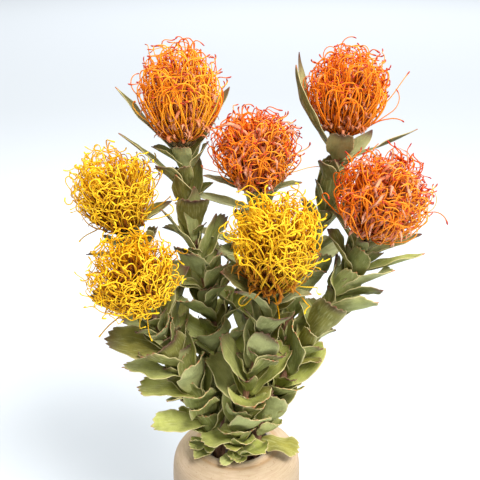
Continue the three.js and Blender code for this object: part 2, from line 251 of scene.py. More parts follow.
def turned(profile: Array, sides: int) -> Shape:
    """A profile of (radius, height) points turned about +Z, with both ends closed.

    Args:
        profile: The points from the bottom up, of shape (points, 2).
        sides: The corners around.

    Returns:
        The turned shape, marked with "along".
    """
    turn = FULL_TURN * np.arange(sides) / sides
    rows = len(profile)
    radius, height = profile[:, :1], profile[:, 1:]
    rings = [radius * np.cos(turn), radius * np.sin(turn), np.repeat(height, sides, axis=1)]
    along = np.repeat(np.linspace(0, 1, rows), sides)
    return Shape(np.stack(rings, axis=2).reshape(-1, 3), tube_faces(rows, sides), {"along": along})


def ways_out(azimuth: Array) -> tuple[Array, Array]:
    """The level ways out from +Z at each azimuth, and those a quarter turn on.

    Args:
        azimuth: The azimuths, in radians.

    Returns:
        Both sets of unit vectors, each of shape (azimuths, 3).
    """
    none = np.zeros(len(azimuth))
    outward = np.stack([np.cos(azimuth), np.sin(azimuth), none], axis=1)
    return outward, np.stack([-outward[:, 1], outward[:, 0], none], axis=1)


def fanned(roots: Array, azimuth: Array, step: Array, parts: Parts) -> Array:
    """Lines that set out side by side and turn as they go.

    Args:
        roots: Where each line sets out, of shape (lines, 3).
        azimuth: Which way each leans, in radians about +Z.
        step: How long each one's steps are.
        parts: How much of each step goes out, aside and up, each of shape (steps, lines).

    Returns:
        The points along each line, of shape (lines, steps + 1, 3).
    """
    outward, sideways = ways_out(azimuth)
    out, aside, up = (part[..., None] * step[:, None] for part in parts)
    moves = outward * out + sideways * aside + UP * up
    return np.cumsum(np.concatenate([roots[None], moves]), axis=0).swapaxes(0, 1)


class Graph:
    """A node tree with short ways to add its nodes and join them."""

    def __init__(self, tree: bpy.types.NodeTree) -> None:
        """Works on a tree."""
        self.tree = tree

    def add(self, kind: str, inputs: dict[str | int, object] | None = None, **settings: object) -> Node:
        """Adds a node.

        Args:
            kind: The node's type.
            inputs: By socket name or number, a value or the output that feeds it.
            **settings: The node's own settings.

        Returns:
            The new node.
        """
        node = self.tree.nodes.new(kind)
        for key, value in settings.items():
            setattr(node, key, value)
        for key, value in (inputs or {}).items():
            self.feed(node.inputs[key], value)
        return node

    def feed(self, socket: Socket, value: object) -> None:
        """Links an output to a socket, or sets the socket's own value.

        Args:
            socket: The socket.
            value: The output, a number, or a colour without its alpha.
        """
        if isinstance(value, Socket):
            self.tree.links.new(value, socket)
        elif isinstance(value, tuple) and socket.type == "RGBA":
            socket.default_value = (*value, 1.0)
        else:
            socket.default_value = value

    def mark(self, name: str, vector: bool = False) -> Socket:
        """What the mesh carries under a name, as a number or a vector."""
        return self.add("ShaderNodeAttribute", attribute_name=name).outputs["Vector" if vector else "Fac"]

    def place(self) -> Socket:
        """Where a point of the surface is, in metres."""
        return self.add("ShaderNodeTexCoord").outputs["Object"]

    def maths(self, kind: str, a: object, b: object) -> Socket:
        """The result of a Math node, kept from 0 to 1."""
        return self.add("ShaderNodeMath", {0: a, 1: b}, operation=kind, use_clamp=True).outputs[0]

    def weighed(self, a: Socket, share_a: float, b: Socket, share_b: float) -> Socket:
        """Two numbers added, each at its own share."""
        return self.maths("ADD", self.maths("MULTIPLY", a, share_a), self.maths("MULTIPLY", b, share_b))

    def span(self, value: Socket, ends: Ends, out: Ends) -> Socket:
        """A value's place between two ends, as a number between two others."""
        limits = {"From Min": ends[0], "From Max": ends[1], "To Min": out[0], "To Max": out[1]}
        return self.add("ShaderNodeMapRange", {"Value": value, **limits}).outputs["Result"]

    def ramp(self, value: Socket, stops: Stops) -> Socket:
        """A colour ramp's colour at a value.

        Args:
            value: The value, from 0 to 1.
            stops: The ramp's places and colours.

        Returns:
            The colour.
        """
        node = self.add("ShaderNodeValToRGB", {"Fac": value})
        elements = node.color_ramp.elements
        while len(elements) < len(stops):
            elements.new(0.5)
        for element, (place, colour) in zip(elements, stops):
            element.position = place
            element.color = (*colour, 1.0)
        return node.outputs["Color"]

    def blend(self, share: Socket, a: object, b: object) -> Socket:
        """Two colours mixed by a share."""
        return self.add("ShaderNodeMix", {0: share, 6: a, 7: b}, data_type="RGBA").outputs[2]

    def group(self, tree: bpy.types.NodeTree, inputs: dict[str, object]) -> Socket:
        """What a shader node group gives for these values."""
        return self.add("ShaderNodeGroup", inputs, node_tree=tree).outputs[0]


class Effects:
    """Shader node groups that several finishes share, each built once."""

    WAYS = ("Across", "Along", "Third")

    def __init__(self) -> None:
        """Builds the groups."""
        self.mottle = self._mottle()
        self.streaks = self._streaks()

    @staticmethod
    def _start(name: str, numbers: tuple[str, ...], output: str) -> tuple[Graph, dict[str, Socket], Socket]:
        """A new group with its named sockets.

        Args:
            name: The group's name.
            numbers: The numbers that it is given, beside a vector.
            output: The number that it gives.

        Returns:
            The group's graph, what it is given by name, and where its result goes.
        """
        tree = bpy.data.node_groups.new(name, "ShaderNodeTree")
        tree.interface.new_socket("Vector", in_out="INPUT", socket_type="NodeSocketVector")
        for key in numbers:
            tree.interface.new_socket(key, in_out="INPUT", socket_type="NodeSocketFloat")
        tree.interface.new_socket(output, in_out="OUTPUT", socket_type="NodeSocketFloat")
        graph = Graph(tree)
        given = graph.add("NodeGroupInput").outputs
        result = graph.add("NodeGroupOutput").inputs[output]
        return graph, {key: given[key] for key in ("Vector", *numbers)}, result

    def _mottle(self) -> bpy.types.NodeTree:
        """Soft blotches with ragged edges: a mask from noise at a scale, cut between two levels.

        Returns:
            The group.
        """
        graph, given, result = self._start("soft_mottle", ("Scale", "Detail", "Low", "High"), "Mask")
        noise = graph.add("ShaderNodeTexNoise", {key: given[key] for key in ("Vector", "Scale", "Detail")})
        levels = {"Value": noise.outputs[0], "From Min": given["Low"], "From Max": given["High"]}
        cut = graph.add("ShaderNodeMapRange", levels, interpolation_type="SMOOTHSTEP")
        graph.feed(result, cut.outputs["Result"])
        return graph.tree

    def _streaks(self) -> bpy.types.NodeTree:
        """Fine lines that run one way: noise drawn out along one axis of its vector.

        Returns:
            The group.
        """
        graph, given, result = self._start("fine_streaks", self.WAYS, "Lines")
        drawn = graph.add("ShaderNodeCombineXYZ", {i: given[key] for i, key in enumerate(self.WAYS)})
        factors = {0: given["Vector"], 1: drawn.outputs[0]}
        scaled = graph.add("ShaderNodeVectorMath", factors, operation="MULTIPLY")
        noise = graph.add("ShaderNodeTexNoise", {"Vector": scaled.outputs[0], "Scale": 1.0, "Detail": 3.0})
        graph.feed(result, noise.outputs[0])
        return graph.tree

    def blotches(self, graph: Graph, place: Socket, scale: float, cut: Ends, detail: float = 4.0) -> Socket:
        """A mask of soft blotches on a material.

        Args:
            graph: The material's graph.
            place: The vector that the blotches follow.
            scale: How small they are.
            cut: The levels of noise between which the mask rises.
            detail: How ragged their edges are.

        Returns:
            The mask.
        """
        values = {"Vector": place, "Scale": scale, "Detail": detail, "Low": cut[0], "High": cut[1]}
        return graph.group(self.mottle, values)

    def lines(self, graph: Graph, place: Socket, scales: Place) -> Socket:
        """Fine lines on a material, with the scale of the noise across, along and on the third axis."""
        return graph.group(self.streaks, {"Vector": place, **dict(zip(self.WAYS, scales))})


@dataclass(frozen=True)
class Feel:
    """A surface's roughness as a value runs between two ends, its bumps with their depth, and its gloss."""

    ends: Ends
    roughness: Ends
    bumps: float
    depth: float
    gloss: float


class Coat:
    """A material in the making: one Principled shader, with its colour laid on layer by layer."""

    def __init__(self, name: str) -> None:
        """Starts a material with its shader alone.

        Args:
            name: The material's name.
        """
        self.material = bpy.data.materials.new(name)
        self.material.use_nodes = True
        self.graph = Graph(self.material.node_tree)
        self.shader = self.material.node_tree.nodes["Principled BSDF"]
        self.colour: object = None

    def lay(self, colour: Colour, mask: Socket, share: float = 1.0) -> None:
        """Lays a colour over the others.

        Args:
            colour: The colour.
            mask: Where it shows.
            share: How strong it is there.
        """
        if share < 1.0:
            mask = self.graph.maths("MULTIPLY", mask, share)
        self.colour = self.graph.blend(mask, self.colour, colour)

    def fade(self, colour: Colour, value: Socket, ends: Ends, shares: Ends) -> None:
        """Lays a colour over the others, from one share to another while a value runs between two ends."""
        self.colour = self.graph.blend(self.graph.span(value, ends, shares), self.colour, colour)

    def finished(self, feel: Feel, value: Socket, height: Socket) -> Material:
        """Sets the material's colour and feel.

        Args:
            feel: Its roughness, bumps and gloss.
            value: What its roughness follows.
            height: What its bumps follow.

        Returns:
            The material.
        """
        bump = {"Height": height, "Strength": feel.bumps, "Distance": feel.depth}
        values = {
            "Base Color": self.colour,
            "Roughness": self.graph.span(value, feel.ends, feel.roughness),
            "Normal": self.graph.add("ShaderNodeBump", bump).outputs[0],
            "Specular IOR Level": feel.gloss,
        }
        for key, given in values.items():
            self.graph.feed(self.shader.inputs[key], given)
        return self.material


@dataclass(frozen=True)
class StonewareFinish:
    """Matte stoneware: warm sand with brushed lines and specks, a darker orange ring under the lip that is
    partly the glaze's tint and partly painted shade, and a bare grey clay inside the mouth.
    """

    sand: Colour = (0.465, 0.362, 0.240)
    blush: Colour = (0.53, 0.41, 0.294)
    speck: Colour = (0.30, 0.18, 0.10)
    # lip: the ring in the groove under the lip, partly the glaze's orange tint and partly painted shade
    lip: Colour = (0.44, 0.26, 0.12)
    clay: Colour = (0.36, 0.33, 0.30)
    feel: Feel = Feel((0.3, 0.7), (0.72, 0.9), 0.35, 0.0006, 0.3)

    def build(self, effects: Effects) -> Material:
        """Makes the material.

        Args:
            effects: The shared node groups.

        Returns:
            The material.
        """
        coat = Coat("stoneware")
        graph = coat.graph
        place = graph.place()
        specks = effects.blotches(graph, place, 620.0, (0.64, 0.70), detail=2.0)
        lines = effects.lines(graph, place, (60.0, 60.0, 1500.0))
        coat.colour = self.sand
        coat.lay(self.blush, effects.blotches(graph, place, 22.0, (0.38, 0.66)))
        coat.fade(self.speck, lines, (0.4, 0.75), (0.0, 0.4))
        # The darker orange ring under the lip: partly the glaze's tint, partly painted shade in the groove
        coat.lay(self.lip, graph.mark("lip"), 0.6)
        coat.lay(self.speck, specks, 0.55)
        coat.lay(self.clay, graph.mark("inside"))
        return coat.finished(self.feel, lines, graph.weighed(lines, 0.6, specks, 0.3))


@dataclass(frozen=True)
class LeafFinish:
    """A dried leaf: grey-green below, yellow-green above, veined, with a pale rim and reddish teeth."""

    under: Colour = (0.335, 0.372, 0.112)
    over: Colour = (0.46, 0.495, 0.118)
    aged: Colour = (0.088, 0.086, 0.020)
    pale: Colour = (0.59, 0.61, 0.28)
    rim: Colour = (0.64, 0.56, 0.28)
    olive: Colour = (0.27, 0.22, 0.038)
    tooth: Colour = (0.50, 0.12, 0.045)
    purple: Colour = (0.10, 0.045, 0.035)
    feel: Feel = Feel((0.0, 1.0), (0.55, 0.75), 0.5, 0.0007, 0.15)

    def build(self, effects: Effects) -> Material:
        """Makes the material.

        Args:
            effects: The shared node groups.

        Returns:
            The material.
        """
        coat = Coat("dried_leaf")
        graph = coat.graph
        place = graph.mark("leaf_place", vector=True)
        grain = effects.blotches(graph, place, 0.9, (0.3, 0.7), detail=5.0)
        veins = effects.lines(graph, place, (0.75, 0.09, 1.0))
        coat.colour = self.under
        coat.lay(self.over, graph.mark("over"))
        coat.lay(self.aged, graph.mark("age"), 0.85)
        coat.fade(self.olive, graph.mark("vary"), (0.0, 0.35), (0.7, 0.0))
        coat.fade(self.pale, graph.mark("vary"), (0.5, 1.0), (0.0, 0.8))
        coat.lay(self.aged, effects.blotches(graph, place, 0.09, (0.36, 0.68), detail=3.0), 0.35)
        coat.fade(self.pale, veins, (0.5, 0.72), (0.0, 0.4))
        coat.lay(self.aged, grain, 0.12)
        coat.lay(self.rim, graph.mark("rim"))
        coat.lay(self.tooth, graph.mark("tooth"))
        coat.lay(self.purple, graph.mark("scorch"))
        return coat.finished(self.feel, grain, graph.weighed(veins, 0.7, grain, 0.3))


@dataclass(frozen=True)
class BarkFinish:
    """A woody stem: reddish brown with pale lengthwise fibres."""

    brown: Colour = (0.20, 0.085, 0.05)
    fibre: Colour = (0.42, 0.25, 0.16)
    feel: Feel = Feel((0.3, 0.7), (0.65, 0.9), 0.6, 0.0008, 0.5)

    def build(self, effects: Effects) -> Material:
        """Makes the material.

        Args:
            effects: The shared node groups.

        Returns:
            The material.
        """
        coat = Coat("stem_bark")
        place = coat.graph.place()
        fibres = effects.lines(coat.graph, place, (1400.0, 1400.0, 110.0))
        coat.colour = self.brown
        coat.fade(self.fibre, fibres, (0.4, 0.7), (0.0, 1.0))
        coat.lay(self.brown, effects.blotches(coat.graph, place, 60.0, (0.35, 0.7)), 0.45)
        return coat.finished(self.feel, fibres, fibres)


@dataclass(frozen=True)
class StyleFinish:
    """The styles of one colour of head, from root to tip, with brighter and darker ones among them."""

    name: str
    stops: Stops
    bright: Colour
    turned: Colour
    tip: Colour
    ripe: Colour = (0.84, 0.11, 0.002)
    feel: Feel = Feel((0.0, 1.0), (0.5, 0.65), 0.15, 0.0004, 0.15)

    def build(self, effects: Effects) -> Material:
        """Makes the material.

        Args:
            effects: The shared node groups.

        Returns:
            The material.
        """
        coat = Coat(self.name + "_styles")
        graph = coat.graph
        patch = effects.blotches(graph, graph.place(), 90.0, (0.35, 0.7))
        coat.colour = graph.ramp(graph.mark("along"), self.stops)
        coat.fade(self.bright, graph.mark("vary"), (0.0, 0.5), (0.9, 0.0))
        coat.fade(self.turned, graph.mark("vary"), (0.6, 1.0), (0.0, 0.75))
        coat.lay(self.turned, patch, 0.3)
        coat.lay(self.ripe, graph.mark("ripe"))
        coat.fade(self.tip, graph.mark("along"), (0.935, 0.97), (0.0, 0.9))
        return coat.finished(self.feel, patch, patch)


@dataclass(frozen=True)
class WoolFinish:
    """The small flowers' curled-back ribbons: silky and hairy, paler towards their ends."""

    name: str
    stops: Stops
    shade: Colour
    sheen: float = 0.05
    feel: Feel = Feel((0.0, 1.0), (0.7, 0.95), 0.5, 0.0004, 0.15)

    def build(self, effects: Effects) -> Material:
        """Makes the material.

        Args:
            effects: The shared node groups.

        Returns:
            The material.
        """
        coat = Coat(self.name + "_ribbons")
        graph = coat.graph
        place = graph.place()
        hair = effects.blotches(graph, place, 1300.0, (0.35, 0.7), detail=3.0)
        coat.colour = graph.ramp(graph.mark("along"), self.stops)
        coat.lay(self.shade, effects.blotches(graph, place, 140.0, (0.4, 0.65)), 0.5)
        coat.lay(self.shade, hair, 0.3)
        coat.shader.inputs["Sheen Weight"].default_value = self.sheen
        return coat.finished(self.feel, hair, hair)


class HeadColour(Enum):
    """The colours that the heads come in."""

    YELLOW = "yellow"
    ORANGE = "orange"
    RUST = "rust"


class Habit(Enum):
    """How a head's styles lie: upright with hooks at the top, swept up into a basket, or tangled all over."""

    UPRIGHT = "upright"
    SWEPT = "swept"
    TANGLED = "tangled"


@dataclass(frozen=True)
class StyleForm:
    """The ranges from which each style of a habit takes its form, in degrees and shares of its length."""

    sway: float
    length: Ends
    curl: Ends
    curl_start: Ends
    curl_aside: float
    wobble: Ends
    cycles: Ends
    droop: float


STYLE_FORMS = {
    Habit.UPRIGHT: StyleForm(
        40.0, (0.7, 1.01), (150.0, 290.0), (0.58, 0.76), 40.0, (4.0, 15.0), (0.7, 1.6), -0.06
    ),
    Habit.SWEPT: StyleForm(
        50.0, (0.74, 1.02), (170.0, 340.0), (0.54, 0.76), 40.0, (4.0, 17.0), (0.7, 1.8), -0.05
    ),
    Habit.TANGLED: StyleForm(
        60.0, (0.62, 1.01), (190.0, 400.0), (0.56, 0.77), 52.0, (4.0, 17.0), (0.7, 1.8), -0.05
    ),
}


@dataclass(frozen=True)
class Stray:
    """One style that leaves its head by itself, in degrees and as a share of the head's height."""

    azimuth: float
    lean: float
    straighten: float
    length: float
    curl: float


STYLE_FINISHES = {
    HeadColour.YELLOW: StyleFinish(
        "yellow",
        (
            (0.0, (0.22, 0.045, 0.001)), (0.35, (0.48, 0.15, 0.002)), (0.62, (0.77, 0.39, 0.005)),
            (1.0, (0.86, 0.52, 0.010)),
        ),
        bright=(0.97, 0.70, 0.040),
        turned=(0.72, 0.31, 0.003),
        tip=(0.96, 0.62, 0.020),
    ),
    HeadColour.ORANGE: StyleFinish(
        "orange",
        (
            (0.0, (0.56, 0.14, 0.003)), (0.3, (0.86, 0.25, 0.005)), (0.8, (0.93, 0.28, 0.007)),
            (1.0, (0.93, 0.23, 0.006)),
        ),
        bright=(1.0, 0.52, 0.040),
        turned=(0.72, 0.10, 0.002),
        tip=(0.40, 0.02, 0.02),
    ),
    HeadColour.RUST: StyleFinish(
        "rust",
        (
            (0.0, (0.54, 0.10, 0.003)), (0.3, (0.88, 0.20, 0.005)), (0.8, (0.93, 0.21, 0.006)),
            (1.0, (0.91, 0.16, 0.005)),
        ),
        bright=(1.0, 0.45, 0.040),
        turned=(0.66, 0.06, 0.002),
        tip=(0.38, 0.02, 0.02),
    ),
}
WOOL_FINISHES = {
    HeadColour.YELLOW: WoolFinish(
        "yellow",
        ((0.0, (0.17, 0.038, 0.001)), (0.6, (0.36, 0.11, 0.002)), (1.0, (0.58, 0.25, 0.012))),
        shade=(0.20, 0.045, 0.001),
    ),
    HeadColour.ORANGE: WoolFinish(
        "orange",
        ((0.0, (0.36, 0.05, 0.002)), (0.6, (0.60, 0.17, 0.03)), (1.0, (0.82, 0.43, 0.25))),
        shade=(0.36, 0.035, 0.003),
    ),
    HeadColour.RUST: WoolFinish(
        "rust",
        ((0.0, (0.38, 0.04, 0.003)), (0.6, (0.70, 0.20, 0.05)), (1.0, (0.90, 0.53, 0.36))),
        shade=(0.40, 0.03, 0.004),
    ),
}
BRACT_FINISH = WoolFinish(
    "bract",
    ((0.0, (0.33, 0.24, 0.10)), (0.7, (0.46, 0.33, 0.14)), (1.0, (0.40, 0.20, 0.09))),
    shade=(0.24, 0.14, 0.06),
)
RIBBON_REACH = {HeadColour.YELLOW: 0.46, HeadColour.ORANGE: 0.57, HeadColour.RUST: 0.7}
RIBBON_WIDTH = {HeadColour.YELLOW: 1.0, HeadColour.ORANGE: 1.15, HeadColour.RUST: 1.35}


@dataclass(frozen=True)
class Bend:
    """One way to bend a leaf clear of what is in its place, in degrees and as a share of its size."""

    size: float
    lift: float
    turn: float


BENDS = [
    Bend(size, lift, turn)
    for size in (1.0, 0.82, 0.66)
    for lift in (0.0, -14.0, 14.0, -28.0, 28.0)
    for turn in (0.0, 16.0, -16.0, 34.0, -34.0)
]


@dataclass(frozen=True)
class Leaf:
    """A leaf: where it grows on its stem, and its form."""

    point: Array
    tangent: Array
    azimuth: float
    length: float
    width: float
    rise: float
    bend: float
    cup: float
    wave: float
    twist: float
    ripple: float
    age: float
    # The same for every leaf, in millimetres, radians and shares
    stem_radius: float = 3.1
    sink: float = 1.7
    least_rise: float = 0.25
    least_bend: float = 1e-3
    outline_start: float = 0.07
    outline_reach: float = 0.77
    roundness: float = 0.7
    waves: float = 1.25
    wave_ease: float = 1.5
    other_side_later: float = 2.1
    edge: tuple[Ends, ...] = ((0.0, 1.0), (0.3, 1.0), (0.6, 1.0), (0.86, 1.0), (0.965, 0.4), (0.925, 0.22))

    def span(self, s: Array) -> Array:
        """How wide the leaf is at a share of its length, against its widest."""
        return np.sin(np.pi * (self.outline_start + self.outline_reach * s)) ** self.roundness

    def bent(self, bend: Bend) -> "Leaf":
        """The leaf in another bend.

        Args:
            bend: How it is made smaller, lifted and turned.

        Returns:
            The bent leaf.
        """
        return replace(
            self,
            length=self.length * bend.size,
            width=self.width * bend.size,
            rise=max(self.rise + math.radians(bend.lift), self.least_rise),
            azimuth=self.azimuth + math.radians(bend.turn),
        )

    def surface(self, s: Array, a: Array, lift: Array, ridge: float = 0.0) -> Array:
        """Points on the leaf.

        Args:
            s: How far along each point is, from 0 to 1.
            a: How far across, from -1 to 1.
            lift: How far it stands off the leaf's middle surface.
            ridge: How much the fold at the midrib is a crease and not a hollow.

        Returns:
            The points, of shape (points, 3).
        """
        up = unit(self.tangent)
        first = unit(np.array([1.0, 0.0, 0.0]) - up * up[0])
        out = first * math.cos(self.azimuth) + np.cross(up, first) * math.sin(self.azimuth)
        side = np.cross(up, out)
        root = self.point + out * (self.stem_radius - self.sink)
        turn = self.least_bend if abs(self.bend) < self.least_bend else self.bend
        angle = self.rise + turn * s
        along = self.length * (np.sin(angle) - math.sin(self.rise)) / turn
        away = self.length * (math.cos(self.rise) - np.cos(angle)) / turn
        normal = up * np.sin(angle)[:, None] - out * np.cos(angle)[:, None]
        roll = (self.twist * s)[:, None]
        across = side * np.cos(roll) + normal * np.sin(roll)
        face = normal * np.cos(roll) - side * np.sin(roll)
        half = self.width / 2 * self.span(s)
        later = np.where(a > 0, 0.0, self.other_side_later)
        wave = np.sin(FULL_TURN * self.waves * s + self.ripple + later)
        fold = ridge * np.abs(a) + (1 - ridge) * a * a
        waved = self.wave * wave * np.abs(a) ** self.wave_ease * np.sin(np.pi * s)
        raised = half * (self.cup * fold + waved) + lift
        level = root + up * along[:, None] + out * away[:, None]
        return level + across * (a * half)[:, None] + face * raised[:, None]

    def outline(self) -> Array:
        """The solid leaf's edge.

        Returns:
            The corners of its sides, its teeth and its tip, of shape (corners, 3).
        """
        s, a = [], []
        for along, width in self.edge:
            across = width if width == 1.0 else width / float(self.span(along))
            s += [along, along]
            a += [across, -across]
        return self.surface(np.array([*s, 1.0]), np.array([*a, 0.0]), np.zeros(len(s) + 1))


@dataclass
class LeafCutter:
    """Makes fine leaves: a grid of lines from base to end, toothed where broad and pointed where narrow."""

    rows: int = 15
    lines: tuple[float, ...] = (0.0, 0.1, 0.2, 0.3035, 0.46, 0.6046, 0.77, 0.93, 1.0)
    toothed: tuple[float, ...] = (1.0, 0.975, 0.95, 0.925, 0.948, 0.965, 0.9, 0.912, 0.86)
    pointed: tuple[float, ...] = (1.0, 0.99, 0.975, 0.957, 0.925, 0.888, 0.835, 0.775, 0.73)
    narrow: float = 0.34
    broad: float = 0.56
    last_row: float = 0.97
    row_ease: float = 0.95
    thickness: float = 0.85
    rim_thickness: float = 0.5
    base_thickness: float = 1.7
    thins_from: float = 0.2
    base_ends: Ends = (0.02, 0.25)
    ridge: float = 0.45
    usual_width: float = 40.0
    billow: tuple[float, float, float] = (1.1, 7.5, 3.6)
    frill: tuple[float, float, float] = (1.5, 11.0, 2.2)
    crinkle: Ends = (0.7, 26.0)
    rim_curl: Ends = (-2.4, 4.4)
    rim_starts: float = 0.62
    rim_ease: float = 0.6
    pale_rim: Ends = (0.9, 1.0)
    pale_from: Ends = (0.03, 0.2)
    paleness: float = 0.85
    middle_teeth: Ends = (0.955, 0.963)
    outer_teeth: Ends = (0.905, 0.91)
    outer_from: float = 0.8
    tooth_red: Ends = (0.3, 0.8)
    redder_by_age: float = 2.0
    scorched: Ends = (0.72, 0.98)
    scorch_ease: float = 0.35
    young_scorch: float = 0.25
    old: float = 0.3
    apart: float = 500.0

    def cut(self, leaf: Leaf, draws: Draws) -> Shape:
        """One leaf.

        Args:
            leaf: Its form.
            draws: Where its small differences come from.

        Returns:
            The leaf, marked with its place, its rim, its teeth and its age.
        """
        v = np.array([-x for x in self.lines[:0:-1]] + list(self.lines))
        breadth = ease(self.narrow, self.broad, leaf.width / leaf.length)
        ends = [mix(point, tooth, breadth) for point, tooth in zip(self.pointed, self.toothed)]
        t = np.append(np.linspace(0, self.last_row, self.rows - 1) ** self.row_ease, 1.0)
        s = (t[:, None] * np.array(ends[:0:-1] + ends)[None, :]).ravel()
        a = np.tile(v, self.rows)
        base_left = ease(*self.base_ends, s)
        puff = self._puff(s, a, draws) * base_left * leaf.width / self.usual_width
        half = mix(self.thickness, self.rim_thickness, ease(self.thins_from, 1.0, np.abs(a))) / 2
        half = mix(self.base_thickness / 2, half, base_left)
        sides = [leaf.surface(s, a, puff + lift, self.ridge) for lift in (half, -half)]
        return Shape(np.concatenate(sides), self._faces(len(v)), self._marks(leaf, s, a, draws))

    def _puff(self, s: Array, a: Array, draws: Draws) -> Array:
        """How far each point stands off a smooth leaf.

        Args:
            s: How far along each point is.
            a: How far across it is.
            draws: Where the phases and the rim's curl come from.

        Returns:
            The billows, frills, crinkles and curled rim together.
        """
        phases = draws.many(4, 0, FULL_TURN)
        height, along, across = self.billow
        billows = height * np.sin(along * s + phases[0]) * np.sin(across * a + phases[1])
        height, along, across = self.frill
        frills = height * np.sin(along * s + phases[2] + across * a)
        height, along = self.crinkle
        crinkles = height * np.sin(along * s + phases[3])
        bulge = np.sin(np.pi * np.clip(s, 0, 1)) ** self.rim_ease
        rim = draws.between(*self.rim_curl) * ease(self.rim_starts, 1.0, np.abs(a)) * bulge
        return billows + (frills + crinkles) * a * a + rim

    def _faces(self, lines: int) -> list[tuple[int, ...]]:
        """The faces of both sides and of the rim.

        Args:
            lines: How many lines run along the leaf.

        Returns:
            The faces, with the upper side's corners counted first.
        """
        size = self.rows * lines
        faces = []
        for low in range(0, size - lines, lines):
            for a in range(low, low + lines - 1):
                b, c, d = a + 1, a + lines + 1, a + lines
                faces.append((a, d, c, b))
                faces.append((a + size, b + size, c + size, d + size))
        last = size - lines
        edge = [*range(lines), *range(2 * lines - 1, size, lines)]
        edge += [*range(size - 2, last - 1, -1), *range(last - lines, 0, -lines)]
        for here, following in zip(edge, edge[1:] + edge[:1]):
            faces.append((here, following, following + size, here + size))
        return faces

    def _marks(self, leaf: Leaf, s: Array, a: Array, draws: Draws) -> dict[str, Array]:
        """What the leaf's material reads at each corner.

        Args:
            leaf: The leaf's form.
            s: How far along each corner of a side is.
            a: How far across it is.
            draws: Where the leaf's tint and scorch come from.

        Returns:
            The values of both sides by name.
        """
        vary, chance = draws.draw(), draws.draw()
        scorch = chance**self.scorch_ease if leaf.age > self.old else self.young_scorch * chance
        young_red, most_red = self.tooth_red
        half = leaf.width / 2 * leaf.span(s)
        lines = len(s) // self.rows
        at_end = np.repeat(np.arange(self.rows) == self.rows - 1, lines).astype(float)
        rim = np.maximum(ease(*self.pale_rim, np.abs(a)), at_end) * ease(*self.pale_from, s)
        outer = ease(*self.outer_teeth, s) * (np.abs(a) > self.outer_from)
        tooth = at_end * (ease(*self.middle_teeth, s) + outer)
        marks = {
            "leaf_place": np.stack([a * half, s * leaf.length, np.full_like(s, vary * self.apart)], axis=1),
            "rim": rim * self.paleness,
            "tooth": np.clip(tooth, 0, 1) * min(most_red, young_red + self.redder_by_age * leaf.age),
            "age": np.full_like(s, leaf.age),
            "vary": np.full_like(s, vary),
            "scorch": ease(*self.scorched, s) * scorch,
        }
        both = {key: np.concatenate([value, value]) for key, value in marks.items()}
        both["over"] = np.concatenate([np.ones_like(s), np.zeros_like(s)])
        return both


# A stem's lowest and highest leaf, in millimetres and degrees
LEAF_ENDS = {
    "length": (57, 53), "width": (47, 22), "rise": (44, 20), "bend": (4, 14), "cup": (0.36, 0.26),
    "wave": (0.22, 0.08),
}
# How much single leaves differ from that, in shares and degrees
LEAF_DRAWS = {
    "size": (0.82, 1.14), "bearing": (-12, 12), "width": (0.8, 1.1), "rise": (-16, 16), "bend": (-25, 25),
    "cup": (0.3, 1.7), "wave": (0.6, 1.4), "twist": (-30, 30), "ripple": (0, FULL_TURN),
}
PLACED_LEAF_DRAWS = {"twist": (-20, 20), "ripple": (0, FULL_TURN)}
SMALL_LEAF_DRAWS = {
    "length": (26, 42), "width": (0.85, 1.15), "rise": (16, 42), "bend": (-6, 24), "cup": (0.2, 0.6),
    "wave": (0.05, 0.25), "twist": (-25, 25), "ripple": (0, FULL_TURN),
}


def leaf_at(share: float, name: str) -> float:
    """A measure of the leaves at a share of the way from the lowest to the highest."""
    return mix(*LEAF_ENDS[name], share)


